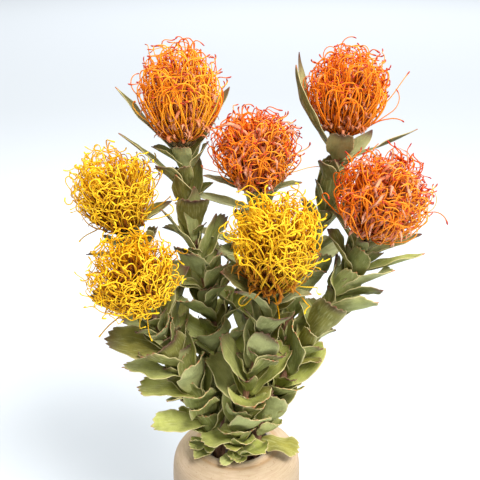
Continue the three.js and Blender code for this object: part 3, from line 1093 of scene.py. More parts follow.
@dataclass
class Flower:
    """One flower of the bunch: its head's seat, way and size, its stem's place, and its leaves."""

    name: str
    colour: HeadColour
    habit: Habit
    seed: int
    seat: Place
    axis: Place
    height: float
    radius: float
    mouth: float
    leaves: int
    phase: float
    lowest: float
    placed: tuple[LeafRow, ...]
    strays: tuple[Stray, ...]
    added: tuple[LeafRow, ...]
    ripe: float = 0.0
    worn: float = 1.0
    # The stem's line, in millimetres, degrees and shares of its length
    vase_height: float = 180.0
    mouth_ring: float = 22.0
    foot_ring: float = 24.0
    foot_turn: float = 80.0
    foot_height: float = 9.15
    leaving_pull: float = 0.35
    arriving_pull: float = 0.3
    seat_gap: float = 0.35
    # How the leaves follow each other up the stem
    highest: float = 0.9
    lowest_size: float = 0.55
    full_size_at: float = 0.2
    form_ease: float = 1.7
    spacing_ease: float = 1.25
    wear_ease: float = 1.5
    small_count: int = 28
    small_highest: float = 0.97
    small_phase: float = 68.0
    small_slimness: Ends = (0.6, 0.44)
    small_shrink: Ends = (1.0, 0.85)
    small_age: Ends = (0.2, 0.7)
    leaf_angles: tuple[str, ...] = ("azimuth", "rise", "bend", "twist")

    @property
    def way(self) -> Array:
        """The head's axis as a unit vector."""
        return unit(np.array(self.axis, float))

    def on_ring(self, radius: float, bearing: float, z: float) -> Array:
        """A point on a level ring about the vase's axis."""
        turn = math.radians(bearing)
        return np.array([radius * math.cos(turn), radius * math.sin(turn), z])

    def curve(self) -> tuple[Array, Array]:
        """The line of the stem.

        Returns:
            Its foot, and the four control points of its bend from the mouth to the seat.
        """
        foot = self.on_ring(self.foot_ring, self.mouth + self.foot_turn, self.foot_height)
        mouth = self.on_ring(self.mouth_ring, self.mouth, self.vase_height)
        seat = np.array(self.seat, float)
        reach = float(np.linalg.norm(seat - mouth))
        leave = mouth + unit(mouth - foot) * reach * self.leaving_pull
        arrive = seat - self.way * reach * self.arriving_pull
        return foot, np.stack([mouth, leave, arrive, seat])

    def along(self, t: Array) -> tuple[Array, Array]:
        """Places along the stem's bend.

        Args:
            t: The shares of the way.

        Returns:
            The points and the directions there.
        """
        a, b, c, d = self.curve()[1]
        t = t[:, None]
        point = (1 - t) ** 3 * a + 3 * (1 - t) ** 2 * t * b + 3 * (1 - t) * t**2 * c + t**3 * d
        way = (1 - t) ** 2 * (b - a) + 2 * (1 - t) * t * (c - b) + t**2 * (d - c)
        return point, unit(way)

    def leaf(self, at: float, form: dict[str, float]) -> Leaf:
        """A leaf on the stem's bend.

        Args:
            at: The share of the way along the bend.
            form: Its measures by name, in millimetres and degrees.

        Returns:
            The leaf.
        """
        point, tangent = self.along(np.array([at]))
        turns = {name: math.radians(form[name]) for name in self.leaf_angles}
        return Leaf(point[0], tangent[0], **{**form, **turns})

    @property
    def start(self) -> float:
        """The share of the bend at which the lowest leaf grows."""
        return (self.lowest - self.vase_height) / (self.seat[2] - self.vase_height)

    def leaf_plan(self) -> list[Leaf]:
        """The leaves as they would grow with nothing in their way.

        Returns:
            The leaves in the order of the part's source, the placed ones first.
        """
        draws = Draws(self.seed)
        spiral = []
        for i in range(self.leaves):
            share = i / (self.leaves - 1)
            growth = share**self.form_ease
            drawn = draws.form(LEAF_DRAWS)
            size = drawn["size"] * mix(self.lowest_size, 1.0, min(1.0, share / self.full_size_at))
            form = {
                "azimuth": self.phase + drawn["bearing"] + i * GOLDEN_DEGREES,
                "length": leaf_at(growth, "length") * size,
                "width": leaf_at(growth, "width") * drawn["width"] * min(1.0, size),
                "rise": leaf_at(share, "rise") + drawn["rise"],
                "bend": leaf_at(share, "bend") + drawn["bend"],
                "cup": leaf_at(share, "cup") * drawn["cup"],
                "wave": leaf_at(share, "wave") * drawn["wave"],
                "twist": drawn["twist"],
                "ripple": drawn["ripple"],
                "age": growth,
            }
            spiral.append(self.leaf(mix(self.start, self.highest, share**self.spacing_ease), form))
        return self.placed_leaves(self.placed, draws) + spiral

    def placed_leaves(self, rows: tuple[LeafRow, ...], draws: Draws) -> list[Leaf]:
        """Leaves that grow where their rows say.

        Args:
            rows: The place, bearing, length, width, rise and curl of each.
            draws: Where their twists and ripples come from.

        Returns:
            The leaves.
        """
        grown = []
        for at, *row in rows:
            form = dict(zip(("azimuth", "length", "width", "rise", "bend"), row))
            form |= {"cup": leaf_at(at, "cup"), "wave": leaf_at(at, "wave"), **draws.form(PLACED_LEAF_DRAWS)}
            grown.append(self.leaf(at, {**form, "age": at**self.wear_ease * self.worn}))
        return grown

    def small_leaves(self) -> list[Leaf]:
        """The small leaves that lie close to the stem between the others.

        Returns:
            The leaves, from the lowest up.
        """
        draws = Draws(self.seed + SMALL_LEAF_SEED)
        grown = []
        for i in range(self.small_count):
            share = i / (self.small_count - 1)
            form = draws.form(SMALL_LEAF_DRAWS)
            form["length"] *= mix(*self.small_shrink, share)
            form["width"] *= mix(*self.small_slimness, share) * form["length"]
            form["azimuth"] = self.phase + self.small_phase + i * GOLDEN_DEGREES
            form["age"] = mix(*self.small_age, share)
            grown.append(self.leaf(mix(self.start, self.small_highest, share), form))
        return grown


@dataclass
class LeafyStem:
    """A flower's woody stem and its leaves, each leaf bent as its solid is."""

    flower: Flower
    radius: float = 3.0
    sides: int = 14
    steps: int = 90
    foot_steps: int = 23
    sunk: float = 2.0
    swelling: float = 0.35
    swelling_reach: float = 3.5
    most_swelling: float = 0.7
    same: float = 0.06
    least_matches: int = 3
    small_rows: int = 9

    def build(self, bark: Material, leaf: Material, solid: bpy.types.Object) -> None:
        """Makes the stem's two pieces.

        Args:
            bark: The stem's material.
            leaf: The leaves' material.
            solid: The CAD node that they stand for.
        """
        node, flower = "stem_" + self.flower.name, self.flower
        leaves = self.leaves(solid)
        self.bark(leaves).piece(node + "_bark", bark, "leafy_stem", node)
        draws = Draws(flower.seed + LEAF_SEED)
        leaves += flower.placed_leaves(flower.added, draws)
        shapes = [LeafCutter().cut(grown, draws) for grown in leaves]
        shapes += [LeafCutter(self.small_rows).cut(grown, draws) for grown in flower.small_leaves()]
        Shape.joined(shapes).piece(node + "_leaves", leaf, "leafy_stem", node)

    def leaves(self, solid: bpy.types.Object) -> list[Leaf]:
        """The leaves as the solid has them, each in the bend whose outline shares most of its corners.

        Args:
            solid: The CAD node.

        Returns:
            The leaves that the solid has.
        """
        corners = [v.co / MM for v in solid.data.vertices]
        tree = KDTree(len(corners))
        for i, corner in enumerate(corners):
            tree.insert(corner, i)
        tree.balance()
        plan, grown = self.flower.leaf_plan(), []
        for leaf in plan:
            best, found = None, self.least_matches - 1
            for bend in BENDS:
                bent = leaf.bent(bend)
                matches = sum(tree.find(Vector(p))[2] < self.same for p in bent.outline())
                if matches > found:
                    best, found = bent, matches
            if best is not None:
                grown.append(best)
        LOG.info("stem_%s: %d leaves of %d", self.flower.name, len(grown), len(plan))
        return grown

    def bark(self, leaves: list[Leaf]) -> Shape:
        """The woody stem, a little swollen where each leaf grows.

        Args:
            leaves: The leaves that grow on it.

        Returns:
            The stem's shape.
        """
        flower = self.flower
        foot, bend = flower.curve()
        shaft = foot + (bend[0] - foot) * np.arange(self.foot_steps)[:, None] / self.foot_steps
        rise, _ = flower.along(np.linspace(0, 1, self.steps))
        path = np.concatenate([shaft, rise, [rise[-1] + flower.way * self.sunk]])
        radii = np.full(len(path), self.radius)
        for leaf in leaves:
            away = np.linalg.norm(path - (leaf.point - flower.way), axis=1)
            radii += self.swelling * np.exp(-((away / self.swelling_reach) ** 2))
        radii = np.minimum(radii, self.radius + self.most_swelling)
        return bars(path[None], radii[None], self.sides)


@dataclass
class FlowerHead:
    """A pincushion head: a woody base, ribbons of small flowers, bracts beneath them, and long styles."""

    flower: Flower
    styles: int = 300
    style_points: int = 25
    ribbons: int = 380
    ribbon_points: int = 9
    bracts: int = 44
    bract_points: int = 9
    # Where the small flowers stand, from the top down, in degrees and shares of the head's size
    leans: Ends = (8.0, 80.0)
    lean_ease: float = 0.6
    root_ring: float = 0.2
    root_heights: Ends = (0.3, 0.07)
    stray_root: float = 0.7
    thin_sides: int = 4
    # The styles, with their thickness in millimetres
    fine_steps: int = 240
    spread: float = 1.7
    style_reach: float = 0.84
    more_long: float = 0.55
    straighten: Ends = (0.6, 1.12)
    straighten_draws: Ends = (0.9, 1.1)
    style_ease: float = 1.2
    settled: Ends = (0.05, 0.5)
    sway_starts: float = 0.15
    waves_aside: float = 0.8
    closer_at_tip: float = 1.85
    style_stops: tuple[float, ...] = (0.0, 0.15, 0.6, 0.93, 0.955, 0.985, 1.0)
    style_radii: tuple[float, ...] = (0.7, 0.56, 0.47, 0.42, 0.62, 0.66, 0.3)
    style_thickness: Ends = (0.85, 1.3)
    less_ripe_tip: float = 0.4
    # The ribbons, which curl back on themselves
    lowest_ribbon: float = 0.24
    reach_ease: float = 1.1
    ribbon_lean: Ends = (0.55, 1.0)
    ribbon_size: Ends = (0.72, 1.15)
    ribbon_straightens: float = 0.45
    ribbon_curl: Ends = (120.0, 400.0)
    ribbon_curl_start: Ends = (0.45, 0.68)
    ribbon_ease: float = 1.3
    curled_in: float = 0.3
    ribbon_aside: Ends = (-45.0, 45.0)
    ribbon_waver: Ends = (0.3, 9.0)
    ribbon_breadth: Ends = (0.7, 1.1)
    ribbon_stops: tuple[float, ...] = (0.0, 0.3, 0.75, 0.95, 1.0)
    ribbon_radii: tuple[float, ...] = (0.7, 1.25, 1.35, 0.9, 0.3)
    ribbon_flat: float = 0.4
    # The woody base: shares of the head's height, and radii in millimetres with shares of the head's added
    core_heights: tuple[float, ...] = (0.0, 0.0, 0.05, 0.12, 0.22, 0.3, 0.36, 0.4)
    core_radii: tuple[float, ...] = (0.4, 4.0, 6.2, 0.0, 0.0, 0.0, 4.0, 0.3)
    core_shares: tuple[float, ...] = (0.0, 0.0, 0.0, 0.24, 0.26, 0.2, 0.0, 0.0)
    core_sides: int = 24
    # The bracts, in millimetres and degrees
    bract_ring: float = 3.6
    bract_heights: Ends = (0.3, 0.13)
    bract_length: Ends = (9.0, 14.0)
    bract_lean: Ends = (45.0, 85.0)
    bract_straightens: float = 0.5
    bract_stops: tuple[float, ...] = (0.0, 0.35, 0.8, 1.0)
    bract_radii: tuple[float, ...] = (1.6, 2.3, 1.2, 0.15)
    bract_flat: float = 0.3
    bract_sides: int = 6

    def build(self, palette: "Palette") -> None:
        """Makes the head's pieces in its three materials.

        Args:
            palette: The arrangement's materials.
        """
        colour = self.flower.colour
        node, slot = "head_" + self.flower.name, colour.value + "_head"
        draws = Draws(self.flower.seed + HEAD_SEED)
        kinds = {
            "_styles": (self.style_shape, palette.styles[colour]),
            "_ribbons": (self.ribbon_shape, palette.wool[colour]),
            "_bracts": (self.base_shape, palette.bract),
        }
        for kind, (grow, material) in kinds.items():
            self.placed(grow(draws)).piece(node + kind, material, slot, node)

    def placed(self, shape: Shape) -> Shape:
        """Moves a shape from the head's own frame onto its stem.

        Args:
            shape: The shape.

        Returns:
            The same shape.
        """
        way = self.flower.way
        matrix = np.array(Vector((0, 0, 1)).rotation_difference(Vector(way)).to_matrix())
        shape.corners = shape.corners @ matrix.T + np.array(self.flower.seat) + way * self.flower.seat_gap
        return shape

    def places(self, count: int) -> tuple[Array, Array, Array]:
        """From the top down, the small flowers' shares of the way, azimuths and leans in degrees."""
        share = (np.arange(count) + 0.5) / count
        return share, np.arange(count) * GOLDEN_DEGREES, mix(*self.leans, share**self.lean_ease)

    def roots(self, azimuth: Array, lean: Array, share: Array) -> Array:
        """Where small flowers are rooted.

        Args:
            azimuth: The way in which each stands, in radians.
            lean: How far it leans, in radians.
            share: How far down the head it is.

        Returns:
            The points, of shape (flowers, 3).
        """
        point = ways_out(azimuth)[0] * (self.root_ring * self.flower.radius * np.sin(lean))[:, None]
        point[:, 2] = self.flower.height * mix(*self.root_heights, share)
        return point

    def style_paths(self, draws: Draws) -> Array:
        """The styles' centre lines in the head's own frame, the strays last.

        Args:
            draws: Where the styles' differences come from.

        Returns:
            The points along each, of shape (styles, points, 3).
        """
        flower, strays, count = self.flower, self.flower.strays, self.styles
        form = STYLE_FORMS[flower.habit]
        share, azimuth, lean = self.places(count)
        least, most = self.straighten
        own = {
            "azimuth": azimuth,
            "lean": lean,
            "straighten": mix(least, most - form.droop, share) * draws.many(count, *self.straighten_draws),
            "length": self.style_reach * mix(*form.length, draws.many(count) ** self.more_long),
            "curl": draws.many(count, *form.curl),
        }
        azimuth, lean, straighten, length, curl = (
            np.append(values, [getattr(stray, name) for stray in strays]) for name, values in own.items()
        )
        azimuth, lean, curl = np.radians(azimuth), np.radians(lean), np.radians(curl)
        count = len(lean)
        curl_way = draws.angles(count, -form.curl_aside, form.curl_aside)
        sway = math.radians(form.sway) * draws.many(count, -1, 1) * (np.arange(count) < self.styles)
        wobble = draws.angles(count, *form.wobble)
        cycles, phase = draws.many(count, *form.cycles), draws.many(count, 0, FULL_TURN)
        curl_start = draws.many(count, *form.curl_start)

        s = ((np.arange(self.fine_steps) + 0.5) / self.fine_steps)[:, None]
        ending = after(curl_start, s) ** self.style_ease
        waving = FULL_TURN * cycles * s + phase
        waver = wobble * ease(*self.settled, s)
        angle = lean * (1 - straighten * s) - curl * ending * np.cos(curl_way) + waver * np.sin(waving)
        aside = sway * after(self.sway_starts, s) + curl * ending * np.sin(curl_way)
        aside += self.waves_aside * waver * np.sin(self.waves_aside * waving + phase)
        spread = mix(self.spread * flower.radius / flower.height, 1.0, ending)
        parts = np.sin(angle) * np.cos(aside) * spread, np.sin(aside), np.cos(angle) * np.cos(aside)
        roots = self.roots(azimuth, lean, np.append(share, [self.stray_root] * len(strays)))
        points = fanned(roots, azimuth, flower.height * length / self.fine_steps, parts)
        return points[:, np.round(self.style_places() * self.fine_steps).astype(int)]

    def style_places(self) -> Array:
        """How far along a style its corners are: closer together in the curl at its end."""
        return 1 - (1 - np.linspace(0, 1, self.style_points)) ** self.closer_at_tip

    def style_shape(self, draws: Draws) -> Shape:
        """All the styles, each with its pollen tip.

        Args:
            draws: Where the styles' differences come from.

        Returns:
            The shape, in the head's own frame.
        """
        paths, along = self.style_paths(draws), self.style_places()
        profile = np.interp(along, self.style_stops, self.style_radii)
        radii = profile * draws.many(len(paths), *self.style_thickness)[:, None]
        shape = bars(paths, radii, self.thin_sides, places=along)
        shape.marks["ripe"] = self.flower.ripe * (1 - self.less_ripe_tip * shape.marks["along"])
        return shape

    def ribbon_shape(self, draws: Draws) -> Shape:
        """The small flowers' ribbons: up beside the style, then curled back on themselves.

        Args:
            draws: Where the ribbons' differences come from.

        Returns:
            The shape, in the head's own frame.
        """
        flower, count = self.flower, self.ribbons
        share, azimuth, lean = self.places(count)
        azimuth, lean = np.radians(azimuth), np.radians(lean)
        roots = self.roots(azimuth, lean, share)
        lean = lean * draws.many(count, *self.ribbon_lean)
        reach = mix(RIBBON_REACH[flower.colour], self.lowest_ribbon, share**self.reach_ease)
        length = flower.height * reach * draws.many(count, *self.ribbon_size)
        curl = draws.angles(count, *self.ribbon_curl)
        curl *= np.where(draws.many(count) < self.curled_in, -1.0, 1.0)
        turn_aside = draws.angles(count, *self.ribbon_aside)
        phase = draws.many(count, 0, FULL_TURN)
        curl_start = draws.many(count, *self.ribbon_curl_start)

        fine = 2 * (self.ribbon_points - 1)
        s = ((np.arange(fine) + 0.5) / fine)[:, None]
        most, waves = self.ribbon_waver
        waver = most * s * np.sin(waves * s + phase)
        ending = after(curl_start, s) ** self.ribbon_ease
        angle = lean * (1 - self.ribbon_straightens * s) + curl * ending + waver
        aside = turn_aside * s
        parts = np.sin(angle) * np.cos(aside), np.sin(aside), np.cos(angle)
        points = fanned(roots, azimuth, length / fine, parts)[:, ::2]
        profile = np.interp(np.linspace(0, 1, self.ribbon_points), self.ribbon_stops, self.ribbon_radii)
        radii = profile * draws.many(count, *self.ribbon_breadth)[:, None] * RIBBON_WIDTH[flower.colour]
        return bars(points, radii, self.thin_sides, across=ways_out(azimuth)[1], flat=self.ribbon_flat)

    def base_shape(self, draws: Draws) -> Shape:
        """The woody base and the pointed bracts around it.

        Args:
            draws: Where the bracts' differences come from.

        Returns:
            The shape, in the head's own frame.
        """
        radius, height, count = self.flower.radius, self.flower.height, self.bracts
        radii = np.array(self.core_radii) + np.array(self.core_shares) * radius
        core = turned(np.stack([radii, np.array(self.core_heights) * height], axis=1), self.core_sides)
        core.marks["vary"] = np.zeros(len(core.corners))
        share, azimuth, _ = self.places(count)
        azimuth = np.radians(azimuth)
        outward, sideways = ways_out(azimuth)
        lowest, highest = self.bract_heights
        roots = outward * mix(self.bract_ring, self.root_ring * radius, share)[:, None]
        roots[:, 2] = mix(lowest, highest * height, share)
        step = draws.many(count, *self.bract_length) / self.bract_points
        s = (np.arange(self.bract_points - 1) / self.bract_points)[:, None]
        angle = draws.angles(count, *self.bract_lean) * (1 - self.bract_straightens * s)
        points = fanned(roots, azimuth, step, (np.sin(angle), np.zeros_like(angle), np.cos(angle)))
        profile = np.interp(np.linspace(0, 1, self.bract_points), self.bract_stops, self.bract_radii)
        radii = np.tile(profile, (count, 1))
        bracts = bars(points, radii, self.bract_sides, across=sideways, flat=self.bract_flat)
        return Shape.joined([core, bracts])


@dataclass
class StonewareVase:
    """The vase: a tall round-shouldered body with a low rounded lip, as (radius, height) points."""

    sides: int = 144
    fullness: float = 0.9
    least: float = 1e-6
    between: tuple[float, ...] = (0.0, 0.25, 0.5, 0.75)
    # The ring under the lip, darker partly by the glaze's tint and partly by painted shade in the groove
    lip_ring: float = 40.5
    lip_width: float = 2.2
    lip_from: float = 170.0
    bare_from: float = 178.0
    bare_ring: Ends = (36.8, 34.8)
    bare_share: float = 0.35
    outside: tuple[Ends, ...] = (
        (0.5, 0.0), (40.0, 0.0), (46.5, 0.1), (48.4, 0.8), (49.6, 2.6), (50.6, 8.0), (54.6, 34.0),
        (59.0, 60.0), (61.9, 85.0), (63.3, 112.0), (63.8, 134.0), (63.8, 149.0), (63.0, 159.0),
        (61.2, 165.6), (58.0, 170.2), (53.6, 173.8), (48.6, 176.0), (43.6, 177.2), (40.8, 177.3),
        (39.2, 177.4), (38.4, 177.9), (38.0, 178.6), (37.2, 179.4), (36.2, 179.8), (34.8, 180.0),
    )
    inside: tuple[Ends, ...] = (
        (33.0, 179.7), (32.2, 178.8), (32.2, 176.0), (33.2, 170.0), (42.0, 164.4), (52.6, 156.0),
        (57.0, 144.0), (57.8, 130.0), (56.0, 90.0), (50.0, 45.0), (44.6, 10.0), (43.0, 8.1), (36.0, 8.0),
        (0.5, 8.0),
    )

    def build(self, material: Material) -> None:
        """Makes the vase's piece.

        Args:
            material: The vase's material.
        """
        profile = np.array([*self.outside, *self.inside])
        shape = turned(np.maximum(self.smoothed(profile), 0.0), self.sides)
        z, r = shape.corners[:, 2], np.linalg.norm(shape.corners[:, :2], axis=1)
        rows = len(z) // self.sides
        row = np.repeat(np.arange(rows), self.sides)
        is_inside = row >= int(rows * (len(self.outside) + 0.5) / len(profile))
        bare = self.bare_share * ease(*self.bare_ring, r) * (z > self.bare_from)
        shape.marks["inside"] = np.where(is_inside, 1.0, bare)
        # Where the lip colour is laid: a ring that is partly tint and partly painted shade in the groove
        # under the lip
        shape.marks["lip"] = np.exp(-(((r - self.lip_ring) / self.lip_width) ** 2)) * (z > self.lip_from)
        shape.piece("vase_body", material, "stoneware", "vase")

    def smoothed(self, profile: Array) -> Array:
        """A finer profile.

        Args:
            profile: The profile, of shape (points, 2).

        Returns:
            The profile with more points between each two, on a curve that keeps its flats.
        """
        padded = np.concatenate([profile[:1], profile, profile[-1:]])
        points = []
        for previous, a, b, following in zip(padded, padded[1:], padded[2:], padded[3:]):
            size = np.linalg.norm(b - a) * self.fullness
            leaving = (b - previous) / max(np.linalg.norm(b - previous), self.least) * size
            arriving = (following - a) / max(np.linalg.norm(following - a), self.least) * size
            for t in self.between:
                ends = (2 * t**3 - 3 * t**2 + 1) * a + (3 * t**2 - 2 * t**3) * b
                points.append(ends + (t**3 - 2 * t**2 + t) * leaving + (t**3 - t**2) * arriving)
        return np.array([*points, profile[-1]])


@dataclass
class Palette:
    """Every material of the arrangement, made once."""

    effects: Effects

    def __post_init__(self) -> None:
        """Builds the materials."""
        self.stoneware = StonewareFinish().build(self.effects)
        self.leaf = LeafFinish().build(self.effects)
        self.bark = BarkFinish().build(self.effects)
        self.bract = BRACT_FINISH.build(self.effects)
        self.styles = {colour: finish.build(self.effects) for colour, finish in STYLE_FINISHES.items()}
        self.wool = {colour: finish.build(self.effects) for colour, finish in WOOL_FINISHES.items()}


@dataclass(frozen=True)
class Lamp:
    """A square soft light, in metres and watts."""

    name: str
    place: Place
    size: float
    power: float
    colour: Colour


LAMPS = (
    Lamp("key", (0.85, -1.2, 2.1), 0.9, 83.0, (1.0, 0.97, 0.93)),
    Lamp("fill", (-1.1, -0.9, 0.9), 1.2, 1.0, (0.93, 0.96, 1.0)),
    Lamp("back", (-0.3, 1.2, 1.4), 1.0, 8.0, (1.0, 1.0, 1.0)),
    Lamp("far", (0.8, 5.6, 5.2), 6.0, 400.0, (0.99, 0.985, 1.0)),
)


@dataclass
class Studio:
    """A pale floor, soft studio light and the camera at the photo's angle, in metres."""

    floor_size: float = 16.0
    floor_colour: Colour = (0.608, 0.652, 0.693)
    floor_roughness: float = 0.9
    floor_gloss: float = 0.1
    sky_colour: Colour = (0.98, 0.98, 0.96)
    sky_strength: float = 0.62
    middle: Place = (0.0, 0.0, 0.33)
    camera_at: Place = (0.0036, -0.6665, 0.666)
    tilt: float = 22.0
    lens: float = 60.0
    sensor: float = 36.0
    farthest: float = 50.0

    def build(self) -> None:
        """Makes the floor, lights, world and camera."""
        self.floor()
        for lamp in LAMPS:
            self.light(lamp)
        self.world()
        self.camera()

    @staticmethod
    def add(name: str, data: bpy.types.ID) -> bpy.types.Object:
        """Puts an object in the scene.

        Args:
            name: The object's name.
            data: Its mesh, light or camera.

        Returns:
            The object.
        """
        thing = bpy.data.objects.new(name, data)
        bpy.context.scene.collection.objects.link(thing)
        return thing

    def floor(self) -> None:
        """A pale floor that reaches past the view."""
        half = self.floor_size / 2
        mesh = bpy.data.meshes.new("floor")
        corners = [(-half, -half, 0), (half, -half, 0), (half, half, 0), (-half, half, 0)]
        mesh.from_pydata(corners, [], [(0, 1, 2, 3)])
        coat = Coat("pale_floor")
        values = {
            "Base Color": self.floor_colour,
            "Roughness": self.floor_roughness,
            "Specular IOR Level": self.floor_gloss,
        }
        for key, value in values.items():
            coat.graph.feed(coat.shader.inputs[key], value)
        mesh.materials.append(coat.material)
        self.add("floor", mesh)

    def light(self, lamp: Lamp) -> None:
        """Makes a light that faces the middle of the bunch.

        Args:
            lamp: The light's name, place, size, power and colour.
        """
        data = bpy.data.lights.new(lamp.name, "AREA")
        data.size = lamp.size
        data.energy = lamp.power
        data.color = lamp.colour
        thing = self.add(lamp.name, data)
        thing.location = lamp.place
        thing.rotation_mode = "QUATERNION"
        thing.rotation_quaternion = (Vector(self.middle) - Vector(lamp.place)).to_track_quat("-Z", "Y")

    def world(self) -> None:
        """Even pale light from all round."""
        world = bpy.data.worlds.new("studio")
        world.use_nodes = True
        sky = world.node_tree.nodes["Background"]
        sky.inputs["Color"].default_value = (*self.sky_colour, 1.0)
        sky.inputs["Strength"].default_value = self.sky_strength
        bpy.context.scene.world = world
        bpy.context.scene.view_settings.view_transform = "Standard"

    def camera(self) -> None:
        """The camera."""
        data = bpy.data.cameras.new("camera")
        data.lens = self.lens
        data.sensor_width = self.sensor
        data.clip_end = self.farthest
        camera = self.add("camera", data)
        camera.location = self.camera_at
        camera.rotation_euler = (math.radians(90 - self.tilt), 0.0, 0.0)
        bpy.context.scene.camera = camera


FLOWERS = (
    Flower(
        "lower_left", HeadColour.YELLOW, Habit.TANGLED, seed=37,
        seat=(-81, -34, 354), axis=(-0.12, -0.56, 0.82), height=82, radius=46,
        mouth=214, leaves=15, phase=200, lowest=194,
        placed=(
            (0.02, 214, 30, 22, 56, 24), (0.14, 192, 58, 30, 62, 12), (0.32, 180, 58, 36, 60, 0),
            (0.44, 192, 62, 38, 56, -6), (0.58, 182, 66, 36, 50, 0), (0.95, 185, 50, 26, 48, -10),
            (0.93, 20, 55, 24, 40, 10), (0.5, 292, 48, 34, 26, 12), (0.34, 312, 52, 36, 30, 14),
            (0.22, 284, 44, 32, 34, 16),
        ),
        strays=(
            Stray(280, 140, 0.1, 0.5, 20), Stray(262, 132, 0.1, 0.42, 220), Stray(215, 125, 0.1, 0.6, 40),
        ),
        added=((0.015, 232, 33, 15, 74, 8), (0.035, 262, 29, 14, 66, 16), (0.05, 205, 26, 14, 60, 12)),
    ),
    Flower(
        "middle_front", HeadColour.YELLOW, Habit.TANGLED, seed=53,
        seat=(31, -52, 369), axis=(0.03, -0.26, 0.97), height=112, radius=40,
        mouth=282, leaves=20, phase=250, lowest=192,
        placed=(
            (0.02, 246, 22, 17, 64, 0), (0.03, 312, 42, 26, 80, 16), (0.97, 195, 58, 26, 36, 4),
            (0.94, 340, 58, 24, 30, 16), (0.07, 286, 30, 24, 40, 16), (0.11, 240, 36, 28, 38, 12),
        ),
        strays=(
            Stray(5, 88, 0.1, 0.56, 330), Stray(345, 96, 0.1, 0.55, 300), Stray(335, 108, 0.1, 0.6, 240),
            Stray(205, 126, 0.05, 0.56, 240), Stray(285, 150, 0.0, 0.34, 10),
        ),
        added=((0.01, 226, 27, 13, 72, 10), (0.02, 270, 25, 15, 62, 16), (0.04, 300, 26, 16, 60, 10)),
    ),
    Flower(
        "far_right", HeadColour.RUST, Habit.SWEPT, seed=79,
        seat=(117, -6, 400), axis=(0.2, -0.24, 0.95), height=92, radius=48,
        mouth=340, leaves=17, phase=330, lowest=194,
        placed=(
            (0.02, 338, 42, 26, 76, 16), (0.91, 350, 58, 18, 44, -4), (0.83, 342, 68, 18, 46, -6),
            (0.74, 318, 58, 27, 34, 0), (0.91, 160, 50, 18, 30, 20), (0.62, 316, 58, 27, 38, 4),
        ),
        strays=(
            Stray(350, 52, 0.0, 0.78, -110), Stray(10, 70, 0.3, 0.9, 220), Stray(180, 78, 0.4, 0.74, 260),
        ),
        added=((0.8, 250, 44, 22, 26, 6), (0.68, 262, 46, 24, 20, 4)),
        worn=0.35,
    ),
    Flower(
        "upper_left", HeadColour.ORANGE, Habit.UPRIGHT, seed=11,
        seat=(-47, 20, 476), axis=(-0.02, 0.02, 1), height=98, radius=41,
        mouth=128, leaves=18, phase=150, lowest=198,
        placed=(
            (0.97, 186, 84, 15, 32, -10), (0.87, 184, 76, 18, 42, 0), (0.94, 8, 84, 15, 29, 2),
            (0.93, 285, 30, 17, 22, 20),
        ),
        strays=(
            Stray(355, 86, 0.3, 0.78, 230), Stray(185, 76, 0.5, 0.74, 250), Stray(178, 66, 0.4, 0.86, 200),
        ),
        added=(
            (0.3, 186, 50, 36, 46, 0), (0.4, 222, 48, 34, 40, 4), (0.36, 352, 50, 34, 46, 0),
            (0.5, 330, 44, 28, 40, 0), (0.26, 338, 54, 40, 40, 4), (0.46, 8, 50, 34, 46, 0),
            (0.5, 180, 48, 32, 46, 0), (0.56, 250, 44, 28, 30, 6), (0.62, 200, 64, 19, 20, 4),
            (0.68, 305, 62, 19, 14, 4), (0.58, 345, 62, 20, 22, 2), (0.74, 255, 58, 19, 12, 8),
        ),
    ),
    Flower(
        "upper_right", HeadColour.ORANGE, Habit.UPRIGHT, seed=67,
        seat=(93, 30, 480), axis=(0.1, 0.02, 0.99), height=91, radius=42,
        mouth=32, leaves=16, phase=110, lowest=194,
        placed=(
            (0.97, 212, 98, 15, 48, -46), (0.95, 196, 100, 15, 52, -44), (0.94, 262, 46, 24, 24, -6),
            (0.93, 356, 76, 15, 60, -6),
        ),
        strays=(
            Stray(0, 86, 0.5, 0.78, 110), Stray(350, 62, 0.7, 0.86, -20), Stray(340, 80, 0.3, 0.66, -80),
        ),
        added=((0.76, 250, 58, 20, 16, 6),),
        ripe=0.55,
    ),
    Flower(
        "far_left", HeadColour.YELLOW, Habit.TANGLED, seed=23,
        seat=(-103, 12, 400), axis=(-0.08, -0.22, 0.97), height=90, radius=44,
        mouth=170, leaves=16, phase=60, lowest=190,
        placed=((0.96, 20, 55, 17, 26, 20), (0.94, 265, 40, 20, 30, 20)),
        strays=(
            Stray(192, 110, 0.1, 0.45, -40), Stray(350, 90, 0.3, 0.7, 260), Stray(5, 78, 0.3, 0.76, 300),
        ),
        added=((0.5, 12, 52, 36, 42, 4), (0.64, 348, 50, 32, 42, 4), (0.78, 10, 50, 26, 40, 6)),
    ),
    Flower(
        "middle_back", HeadColour.RUST, Habit.SWEPT, seed=41,
        seat=(19, 27, 439), axis=(-0.04, -0.4, 0.92), height=84, radius=43,
        mouth=80, leaves=15, phase=20, lowest=196,
        placed=((0.96, 200, 60, 15, 50, 8), (0.94, 330, 55, 16, 30, 20), (0.72, 208, 42, 18, 84, 12)),
        strays=(
            Stray(180, 84, 0.3, 0.72, 130), Stray(0, 86, 0.2, 0.7, -60), Stray(20, 60, 0.4, 0.9, 200),
        ),
        added=(
            (0.42, 190, 56, 36, 50, 0), (0.5, 222, 54, 34, 44, 0), (0.58, 176, 52, 32, 50, 4),
            (0.64, 206, 50, 28, 42, 6), (0.46, 340, 50, 34, 40, 0), (0.6, 320, 48, 28, 36, 4),
            (0.88, 188, 66, 15, 70, -6), (0.7, 192, 66, 15, 62, 6),
        ),
    ),
)


def main() -> None:
    """Loads the frame, dresses it and lights it."""
    logging.basicConfig(level=logging.INFO, format="%(message)s")
    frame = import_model()
    palette = Palette(Effects())
    StonewareVase().build(palette.stoneware)
    for flower in FLOWERS:
        LeafyStem(flower).build(palette.bark, palette.leaf, frame["nodes"]["stem_" + flower.name])
        FlowerHead(flower).build(palette)
    Studio().build()


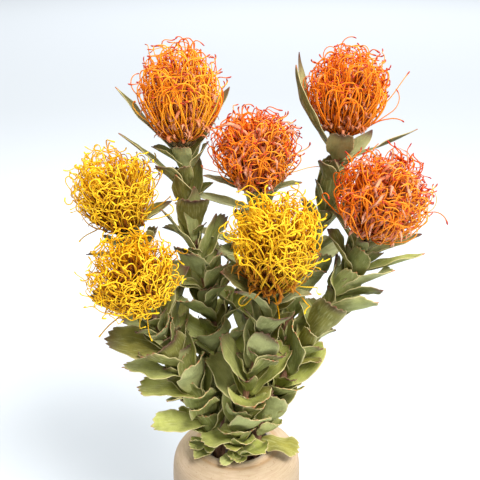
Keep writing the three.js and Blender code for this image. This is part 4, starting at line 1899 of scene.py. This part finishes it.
if __name__ == "__main__":
    main()
